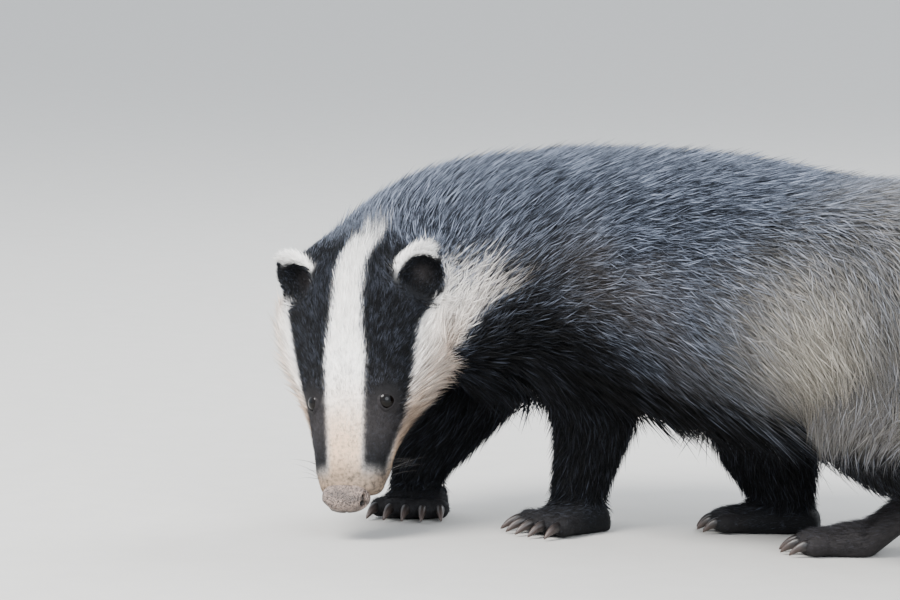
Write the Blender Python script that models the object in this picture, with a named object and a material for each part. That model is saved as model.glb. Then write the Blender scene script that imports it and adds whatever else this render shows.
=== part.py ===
"""European badger, life size, standing in mid stride with its head lowered and turned to its left.

The trunk runs along X with the rump toward +X, the head hangs at the -X end and faces -Y, and the
soles rest on Z = 0. Sizes are in metres.
"""

import math

import bmesh
import bpy
import numpy as np

# Trunk and neck, front to back
# Each row: centre x, y, z, half width, height above centre, depth below centre.
TRUNK = (
    (-0.064, 0.024, 0.142, 0.054, 0.044, 0.048),
    (-0.047, 0.042, 0.156, 0.064, 0.054, 0.055),
    (-0.019, 0.054, 0.162, 0.076, 0.066, 0.062),
    (0.021, 0.060, 0.162, 0.088, 0.074, 0.066),
    (0.074, 0.060, 0.161, 0.094, 0.078, 0.069),
    (0.128, 0.057, 0.160, 0.100, 0.079, 0.077),
    (0.184, 0.050, 0.158, 0.104, 0.077, 0.079),
    (0.241, 0.040, 0.155, 0.106, 0.072, 0.079),
    (0.298, 0.029, 0.153, 0.106, 0.073, 0.077),
    (0.350, 0.019, 0.150, 0.100, 0.072, 0.072),
    (0.395, 0.010, 0.147, 0.086, 0.062, 0.062),
    (0.436, 0.002, 0.145, 0.058, 0.042, 0.044),
    (0.458, -0.002, 0.144, 0.024, 0.018, 0.020),
)
TRUNK_SIDES = 20
TRUNK_RINGS = 21
BODY_SQUARENESS = 2.2

# The core under the locks stands out from the rows above by this, less at the head
CORE_REACH = 0.003
CORE_FADE_ROWS = 2.0

# Locks of the coat: sunk roots, flat tapering blades, tips lifted off the core
SEED = 7
LOCK_SINK = 0.008
LOCK_LIFT = 0.014
LOCK_LENGTH = 0.074
LOCK_WIDTH = 0.036
LOCK_THICKNESS = 0.0055
LOCK_SHARES = (0.0, 0.32, 0.66, 1.0)
LOCK_WIDTHS = (0.70, 1.00, 0.72)
LOCK_JITTER = 0.18
SHORTEST_SHARE = 0.55
TIP_ROOM = 0.003
ROOT_ROOM = 0.014
LOCKS_ALONG = 12
LOCKS_AROUND = 13
FIRST_LOCK_ROW = 1.35
LAST_LOCK_ROW = 11.0
BELLY_LIMIT = 152.0
FIRST_BELLY_ROW = 3.6
LAST_BELLY_ROW = 8.4
SIDE_DROOP = 26.0
RUMP_DROOP = 30.0
FRINGE_COUNT = 7
FIRST_FRINGE_ROW = 6.8
LAST_FRINGE_ROW = 10.2
FRINGE_ANGLE = 104.0
FRINGE_DROOP = 72.0
FRINGE_LENGTH = 0.080
FRINGE_HANG = 0.012
TAIL_LOCKS_ALONG = 4
FIRST_TAIL_ROW = 0.9
LAST_TAIL_ROW = 3.1
TAIL_LOCKS_AROUND = 4
TAIL_LOCK_LENGTH = 0.062
TAIL_LOCK_WIDTH = 0.026
TAIL_LIFT = 0.011
# Each entry: row of the head, first angle, number of locks.
CHEEK_RINGS = ((3.8, 104.0, 4), (7.2, 78.0, 6))
CHEEK_ANGLE_STEP = 13.0
CHEEK_LOCK_LENGTH = 0.040
CHEEK_LOCK_WIDTH = 0.022
CHEEK_LIFT = 0.006

# Limbs, top to bottom
# Each row: centre x, y, z, half width across the body, half width along it.
FORELEG_LEFT = (
    (0.068, 0.018, 0.135, 0.046, 0.042),
    (0.083, 0.030, 0.105, 0.036, 0.036),
    (0.087, 0.035, 0.086, 0.030, 0.032),
    (0.084, 0.035, 0.058, 0.022, 0.025),
    (0.079, 0.031, 0.032, 0.019, 0.021),
    (0.077, 0.029, 0.014, 0.018, 0.019),
)
FORELEG_RIGHT = (
    (-0.009, 0.098, 0.130, 0.044, 0.042),
    (-0.010, 0.098, 0.100, 0.034, 0.036),
    (-0.018, 0.091, 0.080, 0.029, 0.031),
    (-0.032, 0.078, 0.054, 0.022, 0.025),
    (-0.045, 0.067, 0.032, 0.019, 0.021),
    (-0.047, 0.064, 0.014, 0.018, 0.019),
)
HINDLEG_LEFT = (
    (0.344, -0.024, 0.120, 0.046, 0.056),
    (0.308, -0.036, 0.094, 0.042, 0.054),
    (0.310, -0.026, 0.072, 0.030, 0.040),
    (0.320, -0.010, 0.056, 0.021, 0.027),
    (0.318, -0.001, 0.042, 0.017, 0.020),
)
HINDLEG_RIGHT = (
    (0.300, 0.068, 0.120, 0.046, 0.058),
    (0.242, 0.072, 0.102, 0.042, 0.052),
    (0.202, 0.072, 0.082, 0.036, 0.046),
    (0.194, 0.071, 0.060, 0.029, 0.038),
    (0.200, 0.070, 0.038, 0.022, 0.029),
    (0.206, 0.070, 0.016, 0.018, 0.022),
)
TAIL = (
    (0.436, 0.002, 0.160, 0.026, 0.024),
    (0.470, -0.006, 0.154, 0.026, 0.024),
    (0.515, -0.011, 0.128, 0.022, 0.020),
    (0.552, -0.012, 0.094, 0.014, 0.013),
    (0.568, -0.012, 0.076, 0.005, 0.005),
)
LIMB_SIDES = 10
LIMB_RINGS = 8

# Feet
# Each entry: heel x, heel y, heading in degrees, sole length, sole width, claw length, heel lift.
PAWS = {
    "forepaw_left": (0.091, 0.040, 232.0, 0.044, 0.045, 0.015, 0.0),
    "forepaw_right": (-0.046, 0.080, 276.0, 0.044, 0.045, 0.013, 0.0),
    "hindpaw_left": (0.322, 0.003, 189.0, 0.080, 0.042, 0.013, 0.034),
    "hindpaw_right": (0.228, 0.072, 189.0, 0.062, 0.042, 0.011, 0.0),
}
LIFTED_SHARE = 0.52
PAW_HEIGHT = 0.024
PAW_SINK = 0.003
PAW_SIDES = 10
TOES = 5
TOE_SPREAD = 34.0
TOE_RADIUS = 0.0062
TOE_LENGTH = 0.017
TOE_SIDES = 6
CLAW_RADIUS = 0.0034
CLAW_SIDES = 4
CLAW_CLEARANCE = 0.0035

# Head, set by its muzzle, its pitch and its roll
MUZZLE = (-0.0466, -0.0580, 0.0286)
HEAD_PITCH = 63.3
HEAD_ROLL = 4.2
# Each row: distance back from the muzzle, half width, height toward the forehead, depth toward the throat.
HEAD = (
    (0.000, 0.0145, 0.0105, 0.0095),
    (0.007, 0.0205, 0.0140, 0.0125),
    (0.019, 0.0250, 0.0170, 0.0165),
    (0.034, 0.0290, 0.0198, 0.0205),
    (0.0535, 0.0345, 0.0240, 0.0275),
    (0.0675, 0.0405, 0.0287, 0.0335),
    (0.0855, 0.0475, 0.0340, 0.0410),
    (0.1035, 0.0545, 0.0385, 0.0475),
    (0.1215, 0.0590, 0.0420, 0.0520),
    (0.1395, 0.0580, 0.0440, 0.0540),
    (0.1575, 0.0500, 0.0400, 0.0500),
    (0.1755, 0.0300, 0.0250, 0.0320),
)
HEAD_SIDES = 22
HEAD_RINGS = 18
HEAD_SQUARENESS = 2.3

# Lower jaw
# Each row: distance back from the muzzle, offset toward the throat, half width, half height.
JAW = (
    (0.005, 0.0135, 0.0080, 0.0035),
    (0.015, 0.0170, 0.0130, 0.0060),
    (0.032, 0.0215, 0.0175, 0.0080),
    (0.051, 0.0280, 0.0220, 0.0100),
    (0.071, 0.0345, 0.0270, 0.0120),
)
JAW_SIDES = 10
JAW_RINGS = 6

# Mouth line, lips and lids
MOUTH_START = 0.005
MOUTH_END = 0.050
MOUTH_GROOVE = 0.0011
MOUTH_STEPS = 6
MOUTH_HALF_WIDTH = (0.0170, 0.0315)
MOUTH_DROP = (0.0120, 0.0207)
LIP_RADIUS = 0.0022
LIP_RISE = 0.0030
LIP_SIDES = 6
LID_RADIUS = 0.0017
LID_SIDES = 4
LID_STEPS = 12

# Nose pad
NOSE_WIDTH = 0.0145
NOSE_HEIGHT = 0.0100
NOSE_DEPTH = 0.0100
NOSE_OFFSET = 0.0015
NOSE_SEGMENTS = 14
NOSE_RINGS = 8
NOSTRIL_RADIUS = 0.0030
NOSTRIL_SPACING = 0.0098

# Eyes
EYE_BACK = 0.0580
EYE_OUT = 0.0255
EYE_UP = 0.0165
EYE_RADIUS = 0.0068
EYE_SEGMENTS = 12
EYE_RINGS = 8
EYE_AIM = 38.0

# Ears
EAR_BACK = 0.1455
EAR_OUT = 0.041
EAR_UP = 0.024
EAR_WIDTH = 0.0180
EAR_HEIGHT = 0.0230
EAR_CUP = 0.0110
EAR_THICKNESS = 0.0050
EAR_LEAN = 52.0
EAR_TURN = 38.0
EAR_SEGMENTS = 14
EAR_RINGS = 3

# Cuts between the nodes
GAP = 0.0003
# Each entry: centre, normal, half width across, extent below centre, extent above centre.
PLATES = (
    ((-0.035, 0.035, 0.158), (0.75, 0.60, 0.28), 0.105, 0.074, 0.110),
    ((-0.002, 0.052, 0.163), (0.86, 0.50, 0.00), 0.140, 0.097, 0.120),
    ((0.150, 0.055, 0.163), (1.00, -0.08, 0.00), 0.160, 0.120, 0.120),
    ((0.470, -0.004, 0.155), (0.98, -0.10, -0.17), 0.100, 0.090, 0.090),
)
# Each entry: centre x, centre y, height, half side.
LEVEL_PLATES = (
    (0.085, 0.034, 0.066, 0.048),
    (-0.026, 0.086, 0.066, 0.048),
    (0.314, -0.014, 0.050, 0.050),
    (0.200, 0.073, 0.050, 0.046),
    (0.079, 0.031, 0.027, 0.034),
    (-0.045, 0.066, 0.027, 0.034),
    (0.306, -0.002, 0.027, 0.034),
    (0.206, 0.070, 0.027, 0.036),
)
FLOOR_SIDE = 1.0
FLOOR_DEPTH = 0.05

# A point inside each node that the cuts part from the body
ANCHORS = {
    "head": (-0.055, -0.020, 0.110),
    "neck": (-0.025, 0.045, 0.180),
    "torso_front": (0.080, 0.058, 0.160),
    "torso_rear": (0.290, 0.030, 0.150),
    "tail": (0.510, -0.010, 0.130),
    "foreleg_left": (0.082, 0.033, 0.045),
    "foreleg_right": (-0.038, 0.074, 0.045),
    "hindleg_left": (0.312, -0.004, 0.040),
    "hindleg_right": (0.203, 0.070, 0.038),
    "forepaw_left": (0.068, 0.012, 0.010),
    "forepaw_right": (-0.042, 0.048, 0.010),
    "hindpaw_left": (0.272, -0.005, 0.010),
    "hindpaw_right": (0.188, 0.066, 0.010),
}

# Shift that centres the finished badger on the origin
CENTRE_X = 0.23355
CENTRE_Y = 0.0388

COLOURS = {
    "head": (0.75, 0.72, 0.66, 1.0),
    "neck": (0.22, 0.22, 0.22, 1.0),
    "torso_front": (0.16, 0.16, 0.17, 1.0),
    "torso_rear": (0.30, 0.29, 0.28, 1.0),
    "tail": (0.42, 0.40, 0.37, 1.0),
    "foreleg_left": (0.03, 0.03, 0.03, 1.0),
    "foreleg_right": (0.03, 0.03, 0.03, 1.0),
    "hindleg_left": (0.05, 0.04, 0.04, 1.0),
    "hindleg_right": (0.03, 0.03, 0.03, 1.0),
    "forepaw_left": (0.04, 0.03, 0.03, 1.0),
    "forepaw_right": (0.04, 0.03, 0.03, 1.0),
    "hindpaw_left": (0.12, 0.08, 0.07, 1.0),
    "hindpaw_right": (0.04, 0.03, 0.03, 1.0),
    "ear_left": (0.55, 0.53, 0.50, 1.0),
    "ear_right": (0.55, 0.53, 0.50, 1.0),
    "eye_left": (0.01, 0.01, 0.01, 1.0),
    "eye_right": (0.01, 0.01, 0.01, 1.0),
    "nose": (0.30, 0.20, 0.18, 1.0),
}
SHINY = {"eye_left": 0.1, "eye_right": 0.1, "nose": 0.4}
COAT_ROUGHNESS = 0.8

LEFT_OF_BODY = np.array((0.0, -1.0, 0.0))
UP = np.array((0.0, 0.0, 1.0))
BOX_FACES = ((0, 1, 2, 3), (4, 5, 6, 7), (0, 1, 5, 4), (1, 2, 6, 5), (2, 3, 7, 6), (3, 0, 4, 7))


def unit(vector):
    vector = np.asarray(vector, float)
    return vector / np.linalg.norm(vector)


def head_axes():
    """Directions of the head: back from the nose, toward its left, and out of the forehead."""
    pitch = math.radians(HEAD_PITCH)
    roll = math.radians(HEAD_ROLL)
    back = unit((-math.sin(roll), math.cos(pitch), math.sin(pitch)))
    left = unit(np.cross(back, np.cross((math.cos(roll), 0.0, math.sin(roll)), back)))
    return back, left, np.cross(left, back)


HEAD_BACK, HEAD_LEFT, HEAD_OUT = head_axes()


def on_head(back, left, out):
    """The place that lies this far back from the muzzle, to its left and out of the forehead."""
    return np.array(MUZZLE) + back * HEAD_BACK + left * HEAD_LEFT + out * HEAD_OUT


def clear_scene():
    for thing in list(bpy.data.objects):
        bpy.data.objects.remove(thing)


def new_collection(name):
    collection = bpy.data.collections.new(name)
    bpy.context.scene.collection.children.link(collection)
    return collection


def add_mesh(name, points, faces, collection):
    """A mesh object whose faces point outward."""
    mesh = bpy.data.meshes.new(name)
    mesh.from_pydata([tuple(map(float, point)) for point in points], [], faces)
    editable = bmesh.new()
    editable.from_mesh(mesh)
    bmesh.ops.recalc_face_normals(editable, faces=editable.faces)
    if editable.calc_volume(signed=True) < 0:
        bmesh.ops.reverse_faces(editable, faces=editable.faces)
    editable.to_mesh(mesh)
    editable.free()
    made = bpy.data.objects.new(name, mesh)
    collection.objects.link(made)
    return made


def smooth_row(rows, at):
    """The row at a place counted in rows, on a smooth curve that runs straight on past the last."""
    rows = np.asarray(rows, float)
    last = len(rows) - 1.0
    if at > last:
        past = rows[-1].copy()
        past[:3] += (at - last) * (rows[-1] - rows[-2])[:3]
        return past
    at = max(at, 0.0)
    first = min(int(at), len(rows) - 2)
    step = at - first
    before = rows[max(first - 1, 0)]
    start = rows[first]
    end = rows[first + 1]
    after = rows[min(first + 2, len(rows) - 1)]
    bend = 2 * before - 5 * start + 4 * end - after
    turn = 3 * (start - end) + after - before
    return start + 0.5 * step * (end - before + step * (bend + step * turn))


def rounded(value, squareness):
    return math.copysign(abs(value) ** (2.0 / squareness), value)


def ring_point(centre, left, up, sizes, angle, squareness):
    """A point of one cross section. The angle is zero at the top and grows toward the left."""
    half_width, above, below = sizes
    across = half_width * rounded(math.sin(angle), squareness)
    height = rounded(math.cos(angle), squareness)
    height *= above if height > 0 else below
    return centre + left * across + up * height


def section_axes(rows, at, across):
    """The centre of a section and its left and up directions, square to the run of the rows."""
    step = 0.02
    ahead = smooth_row(rows, at + step)[:3]
    behind = smooth_row(rows, max(at - step, 0.0))[:3]
    along = unit(ahead - behind)
    left = unit(across - along * float(across @ along))
    return smooth_row(rows, at)[:3], left, np.cross(left, along)


def skin_over(name, rings, collection):
    """A closed mesh over rings of equal count, with a flat cap at each end."""
    sides = len(rings[0])
    points = [point for ring in rings for point in ring]
    faces = [tuple(range(sides)), tuple(range(len(points) - sides, len(points)))]
    for row in range(len(rings) - 1):
        for side in range(sides):
            after = (side + 1) % sides
            start = row * sides
            faces.append((start + side, start + after, start + sides + after, start + sides + side))
    return add_mesh(name, points, faces, collection)


def core_reach(at):
    """How far the core stands out here: nothing at the head, all of it past the neck."""
    return CORE_REACH * min(at / CORE_FADE_ROWS, 1.0)


def trunk_point(at, angle, out=0.0):
    """A point of the trunk's surface, or this far out from it."""
    row = smooth_row(TRUNK, at)
    centre, left, up = section_axes(TRUNK, at, LEFT_OF_BODY)
    return ring_point(centre, left, up, row[3:6] + out, angle, BODY_SQUARENESS)


def add_trunk(collection):
    last = len(TRUNK) - 1
    rings = []
    for at in np.linspace(0, last, TRUNK_RINGS):
        angles = np.linspace(0, 2 * math.pi, TRUNK_SIDES, endpoint=False)
        rings.append([trunk_point(at, angle, core_reach(at)) for angle in angles])
    skin_over("trunk", rings, collection)


def add_limb(name, rows, collection):
    rings = []
    for at in np.linspace(0, len(rows) - 1, LIMB_RINGS):
        row = smooth_row(rows, at)
        centre, left, up = section_axes(rows, at, LEFT_OF_BODY)
        sizes = (row[3], row[4], row[4])
        angles = np.linspace(0, 2 * math.pi, LIMB_SIDES, endpoint=False)
        rings.append([ring_point(centre, left, up, sizes, angle, 2.0) for angle in angles])
    skin_over(name, rings, collection)


def add_tube(name, path, radii, across, sides, collection, flatness=1.0):
    """A tapering tube along a path, closed at both ends."""
    rings = []
    rows = [(*point, radius) for point, radius in zip(path, radii)]
    for at in range(len(rows)):
        centre, left, up = section_axes(rows, at, across)
        sizes = (radii[at], radii[at] * flatness, radii[at] * flatness)
        angles = np.linspace(0, 2 * math.pi, sides, endpoint=False)
        rings.append([ring_point(centre, left, up, sizes, angle, 2.0) for angle in angles])
    return skin_over(name, rings, collection)


def add_paw(name, collection):
    """A sole with five toes, each ending in a long claw that curves down."""
    heel_x, heel_y, heading, length, width, claw, lift = PAWS[name]
    heading = math.radians(heading)
    forward = np.array((math.cos(heading), math.sin(heading), 0.0))
    side = np.cross(UP, forward)
    heel = np.array((heel_x, heel_y, 0.0))
    shares = (0.00, 0.12, 0.35, 0.65, 0.90, 1.00)
    widths = (0.50, 0.74, 0.86, 0.98, 0.92, 0.66)
    heights = (0.55, 0.85, 1.00, 0.90, 0.68, 0.42)
    rings = []
    for share, wide, high in zip(shares, widths, heights):
        tall = PAW_HEIGHT * high + PAW_SINK
        raised = lift * max(1.0 - share / LIFTED_SHARE, 0.0)
        centre = heel + forward * length * share + UP * (tall / 2 - PAW_SINK + raised)
        sizes = (width / 2 * wide, tall / 2, tall / 2)
        angles = np.linspace(0, 2 * math.pi, PAW_SIDES, endpoint=False)
        rings.append([ring_point(centre, side, UP, sizes, angle, 2.6) for angle in angles])
    skin_over(name + "_sole", rings, collection)
    for toe in range(TOES):
        share = toe / (TOES - 1) - 0.5
        turn = math.radians(TOE_SPREAD) * share
        out = forward * math.cos(turn) + side * math.sin(turn)
        across = np.cross(UP, out)
        reach = length * (0.90 - 0.40 * share * share)
        start = heel + forward * reach + side * width * 0.78 * share
        steps = (-0.6, 0.0, 0.6, 1.0)
        path = [start + out * TOE_LENGTH * s + UP * (0.0075 - 0.0012 * s * s) for s in steps]
        radii = [TOE_RADIUS * r for r in (0.9, 1.05, 1.0, 0.62)]
        add_tube(f"{name}_toe_{toe}", path, radii, across, TOE_SIDES, collection)
        root = start + out * TOE_LENGTH * 0.78 + UP * 0.0078
        drop = root[2] - CLAW_CLEARANCE
        path = [root + out * claw * s - UP * drop * s * s for s in (-0.25, 0.25, 0.62, 1.0)]
        radii = [CLAW_RADIUS * r for r in (0.9, 0.9, 0.62, 0.15)]
        add_tube(f"{name}_claw_{toe}", path, radii, across, CLAW_SIDES, collection)


def head_point(at, angle, out=0.0):
    """A point of the head's surface. The angle is zero on the forehead and grows toward its left."""
    back, half_width, above, below = smooth_row(HEAD, at)
    sizes = (half_width + out, above + out, below + out)
    return ring_point(on_head(back, 0.0, 0.0), HEAD_LEFT, HEAD_OUT, sizes, angle, HEAD_SQUARENESS)


def add_head(collection):
    rings = []
    for at in np.linspace(0, len(HEAD) - 1, HEAD_RINGS):
        angles = np.linspace(0, 2 * math.pi, HEAD_SIDES, endpoint=False)
        rings.append([head_point(at, angle) for angle in angles])
    skin_over("face", rings, collection)


def tail_point(at, angle, out=0.0):
    row = smooth_row(TAIL, at)
    centre, left, up = section_axes(TAIL, at, LEFT_OF_BODY)
    return ring_point(centre, left, up, (row[3] + out, row[4] + out, row[4] + out), angle, 2.0)


def lock_path(surface, start, droop, length, lift, hang):
    """Places and outward directions along a lock, and the length of one row of the surface there."""
    at, angle = start
    nudge = 0.01
    run = np.linalg.norm(surface(at + nudge, angle) - surface(at - nudge, angle)) / (2 * nudge)
    girth = np.linalg.norm(surface(at, angle + nudge) - surface(at, angle - nudge)) / (2 * nudge)
    around = math.copysign(math.sin(droop), math.sin(angle))
    path = []
    for share in LOCK_SHARES:
        row = at + length * share * math.cos(droop) / run
        turn = angle + length * share * around / girth
        out = share**0.7 * (LOCK_SINK + lift) - LOCK_SINK
        place = surface(row, turn, out) - UP * hang * share**2
        path.append((place, unit(surface(row, turn, out + nudge) - surface(row, turn, out))))
    return path, run


def clear_of_plates(surface, start, droop, length, lift, hang):
    """The start and length of a lock once it no longer reaches across a cut between two nodes."""
    for centre, normal, *_ in PLATES:
        path, run = lock_path(surface, start, droop, length, lift, hang)
        root, tip = (float((path[end][0] - centre) @ unit(normal)) for end in (0, -1))
        if root < 0 < tip + TIP_ROOM:
            crossing = -root / (tip - root)
            if crossing > SHORTEST_SHARE:
                length *= crossing - TIP_ROOM / length
            else:
                start = (start[0] + (length * crossing + ROOT_ROOM) / run, start[1])
    return start, length


def add_lock(name, surface, start, droop, size, lift, hang, collection):
    """A flat blade that leaves a sunk root, follows the surface and lifts toward its pointed tip.

    The start is a row and an angle. The droop turns the blade from the run of the body toward the belly.
    The size is its length and its width. The hang is how far its tip sags.
    """
    length, width = size
    start, length = clear_of_plates(surface, start, droop, length, lift, hang)
    path = lock_path(surface, start, droop, length, lift, hang)[0]
    points = []
    for number, wide in enumerate(LOCK_WIDTHS):
        place, normal = path[number]
        side = unit(np.cross(path[number + 1][0] - place, normal))
        half = width * wide / 2
        points += [place - side * half, place + side * half, place + normal * LOCK_THICKNESS]
    points.append(path[-1][0])
    tip = len(points) - 1
    faces = [(0, 1, 2)]
    for start_point in range(0, tip - 3, 3):
        for corner in range(3):
            after = (corner + 1) % 3
            faces.append(
                (start_point + corner, start_point + after, start_point + 3 + after, start_point + 3 + corner)
            )
    for corner in range(3):
        faces.append((tip - 3 + corner, tip - 3 + (corner + 1) % 3, tip))
    add_mesh(name, points, faces, collection)


def add_coat(collection):
    """Overlapping locks in staggered rows over neck, trunk and rump."""
    random = np.random.default_rng(SEED)
    run = LAST_LOCK_ROW - FIRST_LOCK_ROW
    for row in range(LOCKS_ALONG):
        for place in range(LOCKS_AROUND):
            at = FIRST_LOCK_ROW + run * row / (LOCKS_ALONG - 1)
            at += random.uniform(-LOCK_JITTER, LOCK_JITTER)
            turn = (place + 0.5 * (row % 2) + random.uniform(-LOCK_JITTER, LOCK_JITTER)) / LOCKS_AROUND
            angle = (360.0 * turn + 180.0) % 360.0 - 180.0
            size = LOCK_LENGTH * random.uniform(0.85, 1.15), LOCK_WIDTH * random.uniform(0.9, 1.1)
            if abs(angle) > BELLY_LIMIT and not FIRST_BELLY_ROW < at < LAST_BELLY_ROW:
                continue
            side = math.sin(math.radians(abs(angle)))
            rump = min(max(at / (len(TRUNK) - 1) - 0.45, 0.0) * 2.0, 1.0)
            droop = side * (SIDE_DROOP + RUMP_DROOP * rump)
            add_lock(
                f"lock_{row}_{place}",
                trunk_point,
                (at, math.radians(angle)),
                math.radians(droop),
                size,
                LOCK_LIFT,
                0.0,
                collection,
            )


def add_fringes(collection):
    """Long locks that hang from the flank over each thigh, the tail's brush and the ruff of the cheeks."""
    random = np.random.default_rng(SEED + 1)
    for side in (1, -1):
        for number in range(FRINGE_COUNT):
            at = FIRST_FRINGE_ROW + (LAST_FRINGE_ROW - FIRST_FRINGE_ROW) * number / (FRINGE_COUNT - 1)
            angle = math.radians(FRINGE_ANGLE + random.uniform(-8.0, 8.0)) * side
            size = FRINGE_LENGTH * random.uniform(0.85, 1.1), LOCK_WIDTH
            droop = math.radians(FRINGE_DROOP)
            name = f"fringe_{side}_{number}"
            add_lock(name, trunk_point, (at, angle), droop, size, LOCK_LIFT, FRINGE_HANG, collection)
        for row, first_angle, count in CHEEK_RINGS:
            for number in range(count):
                angle = math.radians(first_angle + CHEEK_ANGLE_STEP * number) * side
                at = row + random.uniform(-0.25, 0.25)
                size = CHEEK_LOCK_LENGTH * random.uniform(0.9, 1.1), CHEEK_LOCK_WIDTH
                name = f"cheek_{side}_{row}_{number}"
                add_lock(name, head_point, (at, angle), 0.0, size, CHEEK_LIFT, 0.0, collection)
    for row in range(TAIL_LOCKS_ALONG):
        for place in range(TAIL_LOCKS_AROUND):
            at = FIRST_TAIL_ROW + (LAST_TAIL_ROW - FIRST_TAIL_ROW) * row / (TAIL_LOCKS_ALONG - 1)
            angle = 2 * math.pi * (place + 0.5 * (row % 2)) / TAIL_LOCKS_AROUND
            size = TAIL_LOCK_LENGTH * random.uniform(0.85, 1.1), TAIL_LOCK_WIDTH
            name = f"tail_{row}_{place}"
            add_lock(name, tail_point, (at, angle), 0.0, size, TAIL_LIFT, 0.0, collection)


def add_jaw(collection):
    rings = []
    for at in np.linspace(0, len(JAW) - 1, JAW_RINGS):
        back, under, half_width, half_height = smooth_row(JAW, at)
        centre = on_head(back, 0.0, -under)
        angles = np.linspace(0, 2 * math.pi, JAW_SIDES, endpoint=False)
        sizes = (half_width, half_height, half_height)
        rings.append([ring_point(centre, HEAD_LEFT, HEAD_OUT, sizes, angle, 2.2) for angle in angles])
    skin_over("jaw", rings, collection)


def eye_place(side):
    """Centre of the eye on this side, 1 for left and -1 for right, and the way it looks."""
    aim = math.radians(EYE_AIM)
    look = HEAD_OUT * math.cos(aim) + HEAD_LEFT * math.sin(aim) * side - HEAD_BACK * 0.20
    return on_head(EYE_BACK, EYE_OUT * side, EYE_UP), unit(look)


def add_lids(side, collection):
    """A raised rim round the eye, wider than it is high."""
    centre, look = eye_place(side)
    along = unit(HEAD_BACK - look * float(HEAD_BACK @ look))
    across = np.cross(along, look)
    rings = []
    for step in range(LID_STEPS):
        turn = 2 * math.pi * step / LID_STEPS
        out = along * math.cos(turn) + across * math.sin(turn)
        middle = centre + look * EYE_RADIUS * 0.52 + out * EYE_RADIUS * 0.92
        ring = []
        for corner in range(LID_SIDES):
            angle = 2 * math.pi * corner / LID_SIDES
            ring.append(middle + LID_RADIUS * (out * math.cos(angle) + look * math.sin(angle)))
        rings.append(ring)
    points = [point for ring in rings for point in ring]
    faces = []
    for step in range(LID_STEPS):
        here = step * LID_SIDES
        there = (step + 1) % LID_STEPS * LID_SIDES
        for corner in range(LID_SIDES):
            after = (corner + 1) % LID_SIDES
            faces.append((here + corner, here + after, there + after, there + corner))
    add_mesh(f"lids_{side}", points, faces, collection)


def add_ball(name, centre, axes, radii, segments, rings, collection):
    """An ellipsoid with its own axes."""
    points = [centre + axes[2] * radii[2]]
    for ring in range(1, rings):
        height = math.pi * ring / rings
        for segment in range(segments):
            turn = 2 * math.pi * segment / segments
            flat = axes[0] * radii[0] * math.cos(turn) + axes[1] * radii[1] * math.sin(turn)
            points.append(centre + flat * math.sin(height) + axes[2] * radii[2] * math.cos(height))
    points.append(centre - axes[2] * radii[2])
    last = len(points) - 1
    faces = []
    for segment in range(segments):
        after = (segment + 1) % segments
        faces.append((0, 1 + segment, 1 + after))
        for ring in range(rings - 2):
            row = 1 + ring * segments
            faces.append((row + segment, row + segments + segment, row + segments + after, row + after))
        row = 1 + (rings - 2) * segments
        faces.append((last, row + after, row + segment))
    return add_mesh(name, points, faces, collection)


def add_eye(name, side, extra, collection):
    centre, look = eye_place(side)
    along = unit(HEAD_BACK - look * float(HEAD_BACK @ look))
    axes = (along, np.cross(look, along), look)
    radius = EYE_RADIUS + extra
    return add_ball(name, centre, axes, (radius, radius, radius), EYE_SEGMENTS, EYE_RINGS, collection)


def add_nose(name, extra, collection):
    centre = on_head(-NOSE_OFFSET, 0.0, 0.001)
    axes = (HEAD_LEFT, HEAD_OUT, -HEAD_BACK)
    radii = (NOSE_WIDTH + extra, NOSE_HEIGHT + extra, NOSE_DEPTH + extra)
    return add_ball(name, centre, axes, radii, NOSE_SEGMENTS, NOSE_RINGS, collection)


def add_nostril(side, collection):
    """The bore of one nostril, opening to the front and curling back along the side."""
    path = (
        on_head(-NOSE_DEPTH - 0.004, NOSTRIL_SPACING * 0.62 * side, 0.0010),
        on_head(-NOSE_DEPTH * 0.62, NOSTRIL_SPACING * 0.72 * side, 0.0008),
        on_head(-NOSE_DEPTH * 0.20, NOSTRIL_SPACING * 0.92 * side, -0.0004),
    )
    radii = (NOSTRIL_RADIUS * 1.1, NOSTRIL_RADIUS, NOSTRIL_RADIUS * 0.5)
    return add_tube(f"nostril_{side}", path, radii, HEAD_LEFT, 8, collection)


def ear_axes(side):
    """The ear's width, its height and the way its cup opens."""
    lean = math.radians(EAR_LEAN)
    turn = math.radians(EAR_TURN)
    tall = unit(HEAD_BACK * math.sin(lean) + HEAD_LEFT * math.cos(lean) * side + HEAD_OUT * 0.15)
    opening = HEAD_OUT * math.cos(turn) + HEAD_LEFT * math.sin(turn) * side
    opening = unit(opening - tall * float(opening @ tall))
    return np.cross(tall, opening), tall, opening


def ear_bowl(side, depth, grow):
    """Rings of a shallow bowl from its rim to its floor, then its middle point."""
    across, tall, opening = ear_axes(side)
    centre = on_head(EAR_BACK, EAR_OUT * side, EAR_UP)
    rings = []
    for ring in range(EAR_RINGS):
        share = 1.0 - ring / EAR_RINGS
        sunk = (depth + grow) * (1.0 - share**2)
        points = []
        for segment in range(EAR_SEGMENTS):
            turn = 2 * math.pi * segment / EAR_SEGMENTS
            flat = across * (EAR_WIDTH + grow) * math.cos(turn) + tall * (EAR_HEIGHT + grow) * math.sin(turn)
            points.append(centre + flat * share - opening * sunk)
        rings.append(points)
    return rings, centre - opening * (depth + grow)


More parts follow.
